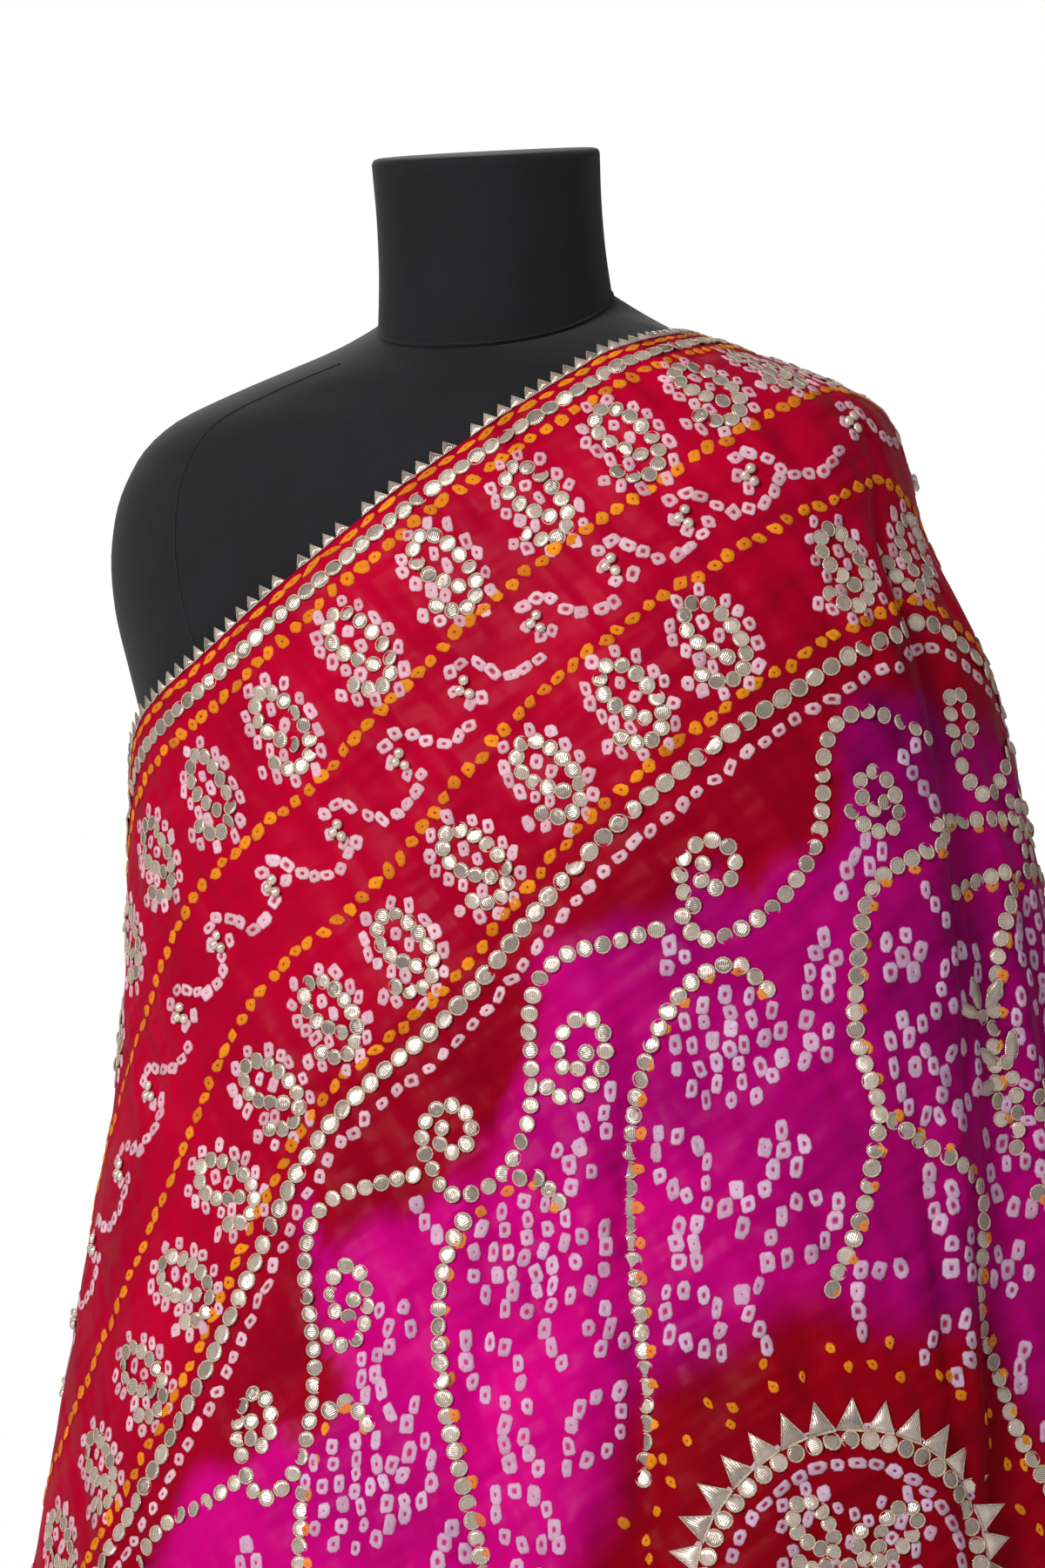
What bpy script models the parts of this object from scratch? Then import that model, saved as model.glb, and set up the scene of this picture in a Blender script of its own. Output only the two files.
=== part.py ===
"""A bandhani cloth draped over one shoulder of a plain headless dress form.

Metres, +Z up, the origin on the surface under the middle of the form.  +X is the form's own left-hand
side, where the cloth lies over the shoulder, and -Y is the front.  The form is turned on its base, so
its chest faces a little towards -X.  Angles round the form are in degrees: 0 over the covered
shoulder, 90 at the chest, 180 under the bare arm, and below 0 across the back.
"""
import math

import bmesh
import bpy
import numpy as np
from mathutils import Vector
from mathutils.bvhtree import BVHTree

TURN = math.radians(20.0)
SPAN_AXIS = (math.cos(TURN), -math.sin(TURN))
CHEST_AXIS = (-math.sin(TURN), -math.cos(TURN))

CLOTH_THICKNESS = 0.002
CLOTH_COLUMNS = 82
CLOTH_ROWS = 27
CLOTH_START_ANGLE = -132.0
CLOTH_END_ANGLE = 226.0
HEM_HEIGHT = 0.014
HEM_WAVE = 0.004

TOUCH_GAP = 0.0006
PICOT_HEIGHT = 0.0072
PICOT_THICKNESS = 0.0012
BRAID_LIFT = 0.0018
BRAID_THICKNESS = 0.0012
UPPER_BRAID_DISTANCE = 0.0115
UPPER_BRAID_WIDTH = 0.0095
LOWER_BRAID_DISTANCE = 0.191
LOWER_BRAID_WIDTH = 0.0100

MEDALLION_ANGLE = 48.5
MEDALLION_HEIGHT = 0.174
MEDALLION_RING_RADIUS = 0.072
MEDALLION_RING_WIDTH = 0.0100
MEDALLION_STEPS = 56

FORM_SQUARENESS = 2.25
DRAPE_CENTRE = (0.004, 0.004)
FORM_CENTRE = (-0.008, 0.006)
FORM_STEPS = 44

NECK_CENTRE = (-0.0136, 0.004)
NECK_GAP = 0.0004
NECK_ROUND = 0.0025

# The outline of the draped cloth: height, reach towards -X and +X, depth to the chest and to the back.
DRAPE_LEVELS = (
    (0.800, -0.074, 0.050, 0.060, 0.066),
    (0.784, -0.084, 0.068, 0.069, 0.074),
    (0.774, -0.102, 0.094, 0.077, 0.082),
    (0.763, -0.128, 0.122, 0.084, 0.090),
    (0.751, -0.155, 0.152, 0.091, 0.097),
    (0.739, -0.178, 0.174, 0.099, 0.104),
    (0.726, -0.193, 0.184, 0.106, 0.110),
    (0.704, -0.206, 0.191, 0.117, 0.118),
    (0.672, -0.213, 0.198, 0.129, 0.125),
    (0.640, -0.211, 0.213, 0.137, 0.128),
    (0.607, -0.204, 0.227, 0.141, 0.130),
    (0.574, -0.199, 0.236, 0.142, 0.132),
    (0.500, -0.199, 0.252, 0.143, 0.138),
    (0.416, -0.202, 0.266, 0.147, 0.148),
    (0.305, -0.220, 0.281, 0.160, 0.163),
    (0.150, -0.246, 0.300, 0.180, 0.183),
    (0.000, -0.271, 0.318, 0.199, 0.203),
)

# The bordered edge: angle round the form, height.
EDGE_LINE = (
    (-132.0, 0.560), (-100.0, 0.650), (-75.0, 0.706), (-50.0, 0.744), (-25.0, 0.767), (0.0, 0.7745),
    (20.0, 0.773), (35.0, 0.770), (50.0, 0.7655), (65.0, 0.7565), (80.0, 0.7355), (95.0, 0.698),
    (110.0, 0.652), (122.0, 0.6195), (137.0, 0.5925), (146.0, 0.579), (160.0, 0.550), (175.0, 0.512),
    (190.0, 0.462), (205.0, 0.405), (226.0, 0.318),
)

# Soft troughs (negative depth) and ridges: angle at the top and at the hem, height where it starts,
# depth there and at the hem, half width in degrees.
FOLDS = (
    ("arm crease", 15.0, 29.0, 0.665, -0.007, -0.015, 6.0),
    ("arm roll", -4.0, 6.0, 0.690, 0.003, 0.006, 9.0),
    ("breast trough", 66.0, 69.0, 0.480, 0.000, -0.012, 6.0),
    ("lap ridge", 56.0, 58.0, 0.420, 0.000, 0.005, 6.0),
    ("middle trough", 79.0, 83.0, 0.500, 0.000, -0.011, 5.0),
    ("middle ridge", 88.0, 90.0, 0.440, 0.000, 0.006, 4.5),
    ("left trough", 96.0, 94.0, 0.400, 0.000, -0.009, 4.0),
    ("hip ridge", 116.0, 113.0, 0.330, 0.000, 0.006, 8.0),
    ("side trough", 142.0, 138.0, 0.330, 0.000, -0.008, 8.0),
    ("back-left ridge", 184.0, 182.0, 0.420, 0.000, 0.009, 11.0),
    ("back-left trough", 206.0, 204.0, 0.360, 0.000, -0.009, 9.0),
    ("shoulder trough", -32.0, -30.0, 0.640, -0.003, -0.016, 9.0),
    ("blade ridge", -56.0, -54.0, 0.600, 0.000, 0.010, 10.0),
    ("blade trough", -78.0, -76.0, 0.560, 0.000, -0.015, 9.0),
    ("back ridge", -100.0, -99.0, 0.520, 0.000, 0.009, 10.0),
    ("back trough", -120.0, -118.0, 0.480, 0.000, -0.008, 7.0),
)

# The covered torso: height, reach towards -X and +X, depth to the chest and to the back, and how far
# the level falls towards the chest and rises towards the back, for each metre of depth.
TORSO_LEVELS = (
    (0.7870, -0.0716, 0.0444, 0.0610, 0.0630, 0.35, 0.35),
    (0.7820, -0.0800, 0.0620, 0.0655, 0.0690, 0.30, 0.18),
    (0.7730, -0.0975, 0.0880, 0.0725, 0.0770, 0.22, 0.00),
    (0.7620, -0.1235, 0.1165, 0.0795, 0.0850, 0.15, 0.00),
    (0.7500, -0.1505, 0.1450, 0.0860, 0.0905, 0.09, 0.00),
    (0.7380, -0.1735, 0.1660, 0.0935, 0.0975, 0.04, 0.00),
    (0.7250, -0.1885, 0.1760, 0.1000, 0.1035, 0.00, 0.00),
    (0.7040, -0.2015, 0.1830, 0.1105, 0.1115, 0.00, 0.00),
    (0.6720, -0.2085, 0.1875, 0.1215, 0.1190, 0.00, 0.00),
    (0.6400, -0.2065, 0.1870, 0.1280, 0.1220, 0.00, 0.00),
    (0.6070, -0.1985, 0.1840, 0.1300, 0.1220, 0.00, 0.00),
    (0.5740, -0.1900, 0.1770, 0.1270, 0.1180, 0.00, 0.00),
    (0.5000, -0.1720, 0.1600, 0.1170, 0.1070, 0.00, 0.00),
    (0.4300, -0.1560, 0.1450, 0.1050, 0.1000, 0.00, 0.00),
    (0.3400, -0.1660, 0.1550, 0.1100, 0.1120, 0.00, 0.00),
    (0.2200, -0.1850, 0.1730, 0.1200, 0.1290, 0.00, 0.00),
    (0.1000, -0.1900, 0.1780, 0.1220, 0.1320, 0.00, 0.00),
    (0.0060, -0.1880, 0.1760, 0.1210, 0.1300, 0.00, 0.00),
    (0.0000, -0.1840, 0.1720, 0.1170, 0.1260, 0.00, 0.00),
)

# The neck block: height, half width, depth to the chest and to the back, shift towards the chest,
# fall towards the chest for each metre of depth.
NECK_LEVELS = (
    (0.7870, 0.0580, 0.0610, 0.0630, 0.0000, 0.35),
    (0.8150, 0.0560, 0.0580, 0.0600, 0.0045, 0.27),
    (0.8400, 0.0555, 0.0570, 0.0585, 0.0090, 0.20),
    (0.8665, 0.0562, 0.0572, 0.0580, 0.0140, 0.15),
)

NAVY_BLACK = (0.011, 0.011, 0.014, 1.0)
CRIMSON = (0.50, 0.004, 0.030, 1.0)
CHAMPAGNE = (0.62, 0.54, 0.40, 1.0)


def clear_scene():
    for thing in list(bpy.data.objects):
        bpy.data.objects.remove(thing, do_unlink=True)


def make_material(name, colour, roughness, metallic=0.0):
    material = bpy.data.materials.new(name)
    material.use_nodes = True
    shader = material.node_tree.nodes["Principled BSDF"]
    shader.inputs["Base Color"].default_value = colour
    shader.inputs["Roughness"].default_value = roughness
    shader.inputs["Metallic"].default_value = metallic
    return material


def through(knots, values, x):
    """The smooth curve through (knots, values) at x; the knots rise."""
    slopes = np.gradient(values, knots)
    x = np.clip(x, knots[0], knots[-1])
    i = np.clip(np.searchsorted(knots, x, side="right") - 1, 0, len(knots) - 2)
    step = knots[i + 1] - knots[i]
    s = (x - knots[i]) / step
    start = (2 * s**3 - 3 * s**2 + 1) * values[i] + (s**3 - 2 * s**2 + s) * step * slopes[i]
    end = (3 * s**2 - 2 * s**3) * values[i + 1] + (s**3 - s**2) * step * slopes[i + 1]
    return start + end


def column_of(levels, column, z):
    """A column of a table of falling heights, read smoothly at height z."""
    table = np.array([row for row in levels])[::-1]
    return through(table[:, 0], table[:, column], z)


def smooth_step(x):
    x = np.clip(x, 0.0, 1.0)
    return x * x * (3.0 - 2.0 * x)


def squared_round(angle, half_left, half_right, chest, back):
    """A point of a squared oval: along the span and towards the chest, for an angle in radians."""
    cos, sin = np.cos(angle), np.sin(angle)
    half = half_right + (half_left - half_right) * 0.5 * (1.0 - cos * (1.5 - 0.5 * cos * cos))
    depth = back + (chest - back) * 0.5 * (1.0 + sin * (1.5 - 0.5 * sin * sin))
    size = (np.abs(cos) ** FORM_SQUARENESS + np.abs(sin) ** FORM_SQUARENESS) ** (-1.0 / FORM_SQUARENESS)
    return half * size * cos, depth * size * sin


def half_spans(centre_x, left, right, chest, back):
    """Half spans along the turned form whose outline seen from -Y reaches left and right."""
    cos, sin = math.cos(TURN), math.sin(TURN)
    half_left = np.sqrt((centre_x - left) ** 2 - (chest * sin) ** 2) / cos
    half_right = np.sqrt((right - centre_x) ** 2 - (back * sin) ** 2) / cos
    return half_left, half_right


def placed(centre, along, ahead):
    x = centre[0] + along * SPAN_AXIS[0] + ahead * CHEST_AXIS[0]
    y = centre[1] + along * SPAN_AXIS[1] + ahead * CHEST_AXIS[1]
    return x, y


def fold_offset(degrees, z):
    """How far the folds push the cloth outwards."""
    offset = np.zeros(np.broadcast(degrees, z).shape)
    for _, top_angle, hem_angle, start, top_depth, hem_depth, width in FOLDS:
        down = (start - z) / (start - HEM_HEIGHT)
        middle = top_angle + (hem_angle - top_angle) * np.clip(down, 0.0, 1.0)
        depth = top_depth + (hem_depth - top_depth) * np.clip(down, 0.0, 1.0) ** 0.8
        onset = smooth_step(down / 0.18 + 0.5)
        offset = offset + depth * onset * np.exp(-(((degrees - middle) / width) ** 2))
    return offset


def drape_point(degrees, z):
    """The outer face of the draped cloth at an angle round the form and a height."""
    angle = np.radians(degrees)
    left, right, chest, back = (column_of(DRAPE_LEVELS, k, z) for k in (1, 2, 3, 4))
    half_left, half_right = half_spans(DRAPE_CENTRE[0], left, right, chest, back)
    along, ahead = squared_round(angle, half_left, half_right, chest, back)
    reach = np.hypot(along, ahead)
    stretch = (reach + fold_offset(degrees, z)) / reach
    x, y = placed(DRAPE_CENTRE, along * stretch, ahead * stretch)
    return np.stack([x, y, z * np.ones_like(x)], axis=-1)


def edge_height(degrees):
    table = np.array(EDGE_LINE)
    return through(table[:, 0], table[:, 1], degrees)


def hem_height(degrees):
    angle = np.radians(degrees)
    return HEM_HEIGHT + HEM_WAVE * (np.sin(3.0 * angle + 0.6) + 0.6 * np.sin(7.0 * angle + 2.0))


def cloth_grid():
    """Outer points of the cloth, columns round the form and rows evenly down each one."""
    grid = np.zeros((CLOTH_COLUMNS + 1, CLOTH_ROWS + 1, 3))
    share = np.linspace(0.0, 1.0, CLOTH_ROWS + 1)
    for i, degrees in enumerate(np.linspace(CLOTH_START_ANGLE, CLOTH_END_ANGLE, CLOTH_COLUMNS + 1)):
        heights = np.linspace(edge_height(degrees), hem_height(degrees), 240)
        line = drape_point(degrees, heights)
        run = np.concatenate([[0.0], np.cumsum(np.linalg.norm(np.diff(line, axis=0), axis=1))])
        grid[i] = drape_point(degrees, np.interp(share * run[-1], run, heights))
    return grid


def grid_normals(grid):
    normals = np.cross(np.gradient(grid, axis=0), np.gradient(grid, axis=1))
    return normals / np.linalg.norm(normals, axis=-1, keepdims=True)


def distance_to_edge(points, edge):
    """Shortest distance from each point to the line of edge points."""
    start, span = edge[:-1], np.diff(edge, axis=0)
    offset = points[:, None, :] - start[None, :, :]
    share = np.clip((offset * span).sum(-1) / (span * span).sum(-1), 0.0, 1.0)
    return np.linalg.norm(offset - share[..., None] * span, axis=-1).min(axis=1)


def point_at_distance(grid, distances, column, distance):
    """The point down a column that lies the given distance from the bordered edge."""
    row = float(np.interp(distance, distances[column], np.arange(CLOTH_ROWS + 1)))
    low = min(int(row), CLOTH_ROWS - 1)
    return grid[column, low] + (grid[column, low + 1] - grid[column, low]) * (row - low)


def new_object(name, mesh, material, collection):
    thing = bpy.data.objects.new(name, mesh)
    mesh.materials.append(material)
    collection.objects.link(thing)
    mesh.shade_smooth()
    mesh.set_sharp_from_angle(angle=math.radians(50.0))
    return thing


def sheet_mesh(name, grid, closed=False):
    """A mesh with a face for each cell of the grid, its normals away from the form."""
    columns, rows = grid.shape[:2]
    shell = bmesh.new()
    verts = [[shell.verts.new(point) for point in line] for line in grid]
    last = columns if closed else columns - 1
    for i in range(last):
        here, there = verts[i], verts[(i + 1) % columns]
        for j in range(rows - 1):
            shell.faces.new((here[j], there[j], there[j + 1], here[j + 1]))
    mesh = bpy.data.meshes.new(name)
    shell.normal_update()
    shell.to_mesh(mesh)
    shell.free()
    return mesh


def add_thickness(thing, thickness, side):
    solidify = thing.modifiers.new("thickness", "SOLIDIFY")
    solidify.thickness = thickness
    solidify.offset = side
    solidify.use_even_offset = True


def ring_loft(name, rings):
    """A closed body through rings of equal counts, capped flat at both ends."""
    body = bmesh.new()
    verts = [[body.verts.new(point) for point in ring] for ring in rings]
    count = len(verts[0])
    for upper, lower in zip(verts, verts[1:]):
        for i in range(count):
            j = (i + 1) % count
            body.faces.new((upper[i], lower[i], lower[j], upper[j]))
    body.faces.new(verts[0])
    body.faces.new(list(reversed(verts[-1])))
    bmesh.ops.recalc_face_normals(body, faces=body.faces)
    mesh = bpy.data.meshes.new(name)
    body.to_mesh(mesh)
    body.free()
    return mesh


def torso_rings():
    angles = np.linspace(0.0, 2.0 * math.pi, FORM_STEPS, endpoint=False)
    rings = []
    for z, left, right, chest, back, fall, rise in TORSO_LEVELS:
        centre_x = 0.5 * (left + right)
        half_left, half_right = half_spans(centre_x, left, right, chest, back)
        along, ahead = squared_round(angles, half_left, half_right, chest, back)
        x, y = placed((centre_x, FORM_CENTRE[1]), along, ahead)
        height = z - np.where(ahead > 0.0, fall, rise) * ahead
        rings.append(np.stack([x, y, height], axis=-1))
    return rings


def neck_rings():
    angles = np.linspace(0.0, 2.0 * math.pi, FORM_STEPS, endpoint=False)
    rings = []
    for z, half, chest, back, shift, fall in NECK_LEVELS:
        half_left, half_right = half_spans(0.0, -half, half, chest, back)
        along, ahead = squared_round(angles, half_left, half_right, chest, back)
        x, y = placed((NECK_CENTRE[0], FORM_CENTRE[1]), along, ahead + shift)
        rings.append(np.stack([x, y, z + NECK_GAP - fall * ahead], axis=-1))
    top = rings[-1]
    middle = top.mean(axis=0)
    rounded = middle + (top - middle) * (1.0 - NECK_ROUND / 0.057)
    rounded[:, 2] += NECK_ROUND * 0.8
    rings.append(rounded)
    return rings[::-1]


def picot_grid(grid):
    """A narrow strip standing on the bordered edge, in line with the cloth's middle."""
    inward = grid_normals(grid)[:, 0] * (-0.5 * CLOTH_THICKNESS)
    rise = grid[:, 0] - grid[:, 1]
    rise /= np.linalg.norm(rise, axis=1, keepdims=True)
    along = np.gradient(grid[:, 0], axis=0)
    along /= np.linalg.norm(along, axis=1, keepdims=True)
    square = rise - (rise * along).sum(1, keepdims=True) * along
    square /= np.linalg.norm(square, axis=1, keepdims=True)
    tip, foot = TOUCH_GAP + PICOT_HEIGHT, TOUCH_GAP
    return np.stack([grid[:, 0] + inward + square * tip, grid[:, 0] + inward + square * foot], axis=1)


def braid_grid(grid, distance, width):
    """A strip that follows the bordered edge at a distance, on the cloth's outer face."""
    edge = grid[:, 0]
    distances = np.array([distance_to_edge(line, edge) for line in grid])
    normals = grid_normals(grid)
    lines = []
    for i in range(len(grid)):
        if distances[i].max() < distance + width:
            continue
        upper = point_at_distance(grid, distances, i, distance - 0.5 * width)
        lower = point_at_distance(grid, distances, i, distance + 0.5 * width)
        row = int(np.interp(distance, distances[i], np.arange(CLOTH_ROWS + 1)))
        lift = normals[i, row] * BRAID_LIFT
        lines.append((upper + lift, lower + lift))
    return np.array(lines)


def medallion_grid(cloth_mesh):
    """A ring laid on the cloth's outer face, dropped on it along its own axis."""
    shell = bmesh.new()
    shell.from_mesh(cloth_mesh)
    tree = BVHTree.FromBMesh(shell)
    shell.free()
    middle = Vector(drape_point(MEDALLION_ANGLE, np.array(MEDALLION_HEIGHT)))
    outward = Vector((middle.x - DRAPE_CENTRE[0], middle.y - DRAPE_CENTRE[1], 0.0)).normalized()
    hit, normal, _, _ = tree.ray_cast(middle + outward * 0.1, -outward)
    normal = normal if normal.dot(outward) > 0.0 else -normal
    across = Vector((0.0, 0.0, 1.0)).cross(normal).normalized()
    upward = normal.cross(across)
    lines = []
    for angle in np.linspace(0.0, 2.0 * math.pi, MEDALLION_STEPS, endpoint=False):
        spoke = across * math.cos(angle) + upward * math.sin(angle)
        pair = []
        for radius in (MEDALLION_RING_RADIUS + 0.5 * MEDALLION_RING_WIDTH,
                       MEDALLION_RING_RADIUS - 0.5 * MEDALLION_RING_WIDTH):
            point, _, _, _ = tree.ray_cast(hit + spoke * radius + normal * 0.08, -normal)
            pair.append(point + normal * BRAID_LIFT)
        lines.append(pair)
    return np.array(lines)


def build_form(collection, covering):
    new_object("form_torso", ring_loft("form_torso", torso_rings()), covering, collection)
    new_object("form_neck", ring_loft("form_neck", neck_rings()), covering, collection)


def build_cloth(collection, silk):
    grid = cloth_grid()
    mesh = sheet_mesh("draped_cloth", grid)
    add_thickness(new_object("draped_cloth", mesh, silk, collection), CLOTH_THICKNESS, -1.0)
    return grid, mesh


def build_trims(collection, grid, cloth_mesh, ribbon):
    strips = {
        "picot_edging": (picot_grid(grid), PICOT_THICKNESS, 0.0, False),
        "upper_disc_braid": (
            braid_grid(grid, UPPER_BRAID_DISTANCE, UPPER_BRAID_WIDTH), BRAID_THICKNESS, 1.0, False),
        "lower_disc_braid": (
            braid_grid(grid, LOWER_BRAID_DISTANCE, LOWER_BRAID_WIDTH), BRAID_THICKNESS, 1.0, False),
        "medallion_disc_ring": (medallion_grid(cloth_mesh), BRAID_THICKNESS, 1.0, True),
    }
    for name, (lines, thickness, side, closed) in strips.items():
        thing = new_object(name, sheet_mesh(name, lines, closed), ribbon, collection)
        add_thickness(thing, thickness, side)


def main():
    clear_scene()
    collection = bpy.data.collections.new("bandhani cloth on a dress form")
    bpy.context.scene.collection.children.link(collection)
    covering = make_material("black jersey", NAVY_BLACK, 0.85)
    silk = make_material("dyed silk", CRIMSON, 0.45)
    ribbon = make_material("gota ribbon", CHAMPAGNE, 0.35, 0.8)
    build_form(collection, covering)
    grid, cloth_mesh = build_cloth(collection, silk)
    build_trims(collection, grid, cloth_mesh, ribbon)


main()
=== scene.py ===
"""A bandhani silk cloth with gota ribbon work, draped over one shoulder of a black dress form.

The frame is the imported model.  The drape repeats the CAD solid's own rule, at a finer step, and is
flattened once, so that every dyed dot and every sewn piece is laid out on the flat cloth, as a maker
would mark it, and then carried on to the folds.

Flat places are (u, v) in metres: u runs along the bordered edge, away from the covered shoulder, and v
runs from that edge into the cloth.  Angles round the form are in degrees: 0 over the covered shoulder,
90 at the chest, 180 under the bare arm, and below 0 across the back.
"""
import logging
import math
from dataclasses import dataclass
from enum import Enum

import bpy
import numpy as np
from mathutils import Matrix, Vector
from mathutils.bvhtree import BVHTree


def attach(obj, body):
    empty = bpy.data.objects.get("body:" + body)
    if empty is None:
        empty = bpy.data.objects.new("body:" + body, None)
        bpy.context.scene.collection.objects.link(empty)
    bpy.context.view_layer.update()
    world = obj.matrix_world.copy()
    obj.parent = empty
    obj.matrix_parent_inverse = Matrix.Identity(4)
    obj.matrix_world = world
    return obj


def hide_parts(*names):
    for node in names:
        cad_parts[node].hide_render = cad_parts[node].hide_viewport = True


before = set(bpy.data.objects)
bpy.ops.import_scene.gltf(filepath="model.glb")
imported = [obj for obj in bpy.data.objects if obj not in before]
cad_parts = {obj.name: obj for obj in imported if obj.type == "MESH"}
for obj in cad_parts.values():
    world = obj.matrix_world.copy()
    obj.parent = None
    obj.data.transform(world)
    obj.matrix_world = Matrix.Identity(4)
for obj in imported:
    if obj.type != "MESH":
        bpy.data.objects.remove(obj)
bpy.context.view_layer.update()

logging.basicConfig(level=logging.INFO, format="%(message)s")
log = logging.getLogger("bandhani")

Array = np.ndarray
MM = 0.001


# ---------------------------------------------------------------- small sums

def through(knots: Array, values: Array, x: Array) -> Array:
    """Reads the smooth curve through (knots, values).

    Args:
        knots: rising places of the known values.
        values: the value at each knot.
        x: where to read the curve.

    Returns:
        The curve's value at each x.
    """
    slopes = np.gradient(values, knots)
    x = np.clip(x, knots[0], knots[-1])
    i = np.clip(np.searchsorted(knots, x, side="right") - 1, 0, len(knots) - 2)
    step = knots[i + 1] - knots[i]
    s = (x - knots[i]) / step
    start = (2 * s**3 - 3 * s**2 + 1) * values[i] + (s**3 - 2 * s**2 + s) * step * slopes[i]
    end = (3 * s**2 - 2 * s**3) * values[i + 1] + (s**3 - s**2) * step * slopes[i + 1]
    return start + end


def smooth_step(x: Array) -> Array:
    """Rises smoothly from 0 to 1 as x does."""
    x = np.clip(x, 0.0, 1.0)
    return x * x * (3.0 - 2.0 * x)


def unit(vectors: Array) -> Array:
    """The vectors at length one."""
    return vectors / np.maximum(np.linalg.norm(vectors, axis=-1, keepdims=True), 1e-12)


def turned(points: Array, degrees: float) -> Array:
    """Flat points turned about the origin, from the first axis towards the second."""
    cos, sin = math.cos(math.radians(degrees)), math.sin(math.radians(degrees))
    return points @ np.array([[cos, sin], [-sin, cos]])


def evenly(path: Array, pitch: float) -> Array:
    """Points at an even pitch along a flat path.

    Args:
        path: the corners of the path, close together where it curves.
        pitch: distance from one point to the next, eased so that the last one meets the end.

    Returns:
        The points.
    """
    run = np.concatenate([[0.0], np.cumsum(np.linalg.norm(np.diff(path, axis=0), axis=1))])
    count = max(1, round(run[-1] / pitch))
    places = run[-1] * np.arange(count + 1) / count
    return np.stack([np.interp(places, run, path[:, 0]), np.interp(places, run, path[:, 1])], axis=1)


def rounded(corners: Array, steps: int = 8) -> Array:
    """A smooth flat path through a few corners (a Catmull-Rom curve)."""
    p = np.vstack([2 * corners[0] - corners[1], corners, 2 * corners[-1] - corners[-2]])
    t = (np.arange(steps) / steps)[:, None]
    parts = []
    for a, b, c, d in zip(p, p[1:], p[2:], p[3:]):
        bend, twist = 2 * a - 5 * b + 4 * c - d, 3 * b - a - 3 * c + d
        parts.append(0.5 * (2 * b + (c - a) * t + bend * t**2 + twist * t**3))
    return np.vstack(parts + [corners[-1:]])


def spiral(centre: Array, radius: float, start: float, turns: float, inner: float) -> Array:
    """A flat spiral that winds in to its centre.

    Args:
        centre: the spiral's middle.
        radius: radius where it starts.
        start: angle where it starts, in degrees.
        turns: turns to wind, negative the other way.
        inner: share of the radius where it stops.

    Returns:
        The spiral's points.
    """
    share = np.linspace(0.0, 1.0, int(abs(turns) * 28) + 4)
    angle = np.radians(start) + 2.0 * math.pi * turns * share
    reach = radius * (1.0 - (1.0 - inner) * share**0.9)
    return centre + np.stack([reach * np.cos(angle), reach * np.sin(angle)], axis=1)


# ---------------------------------------------------------------- the drape

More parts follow.
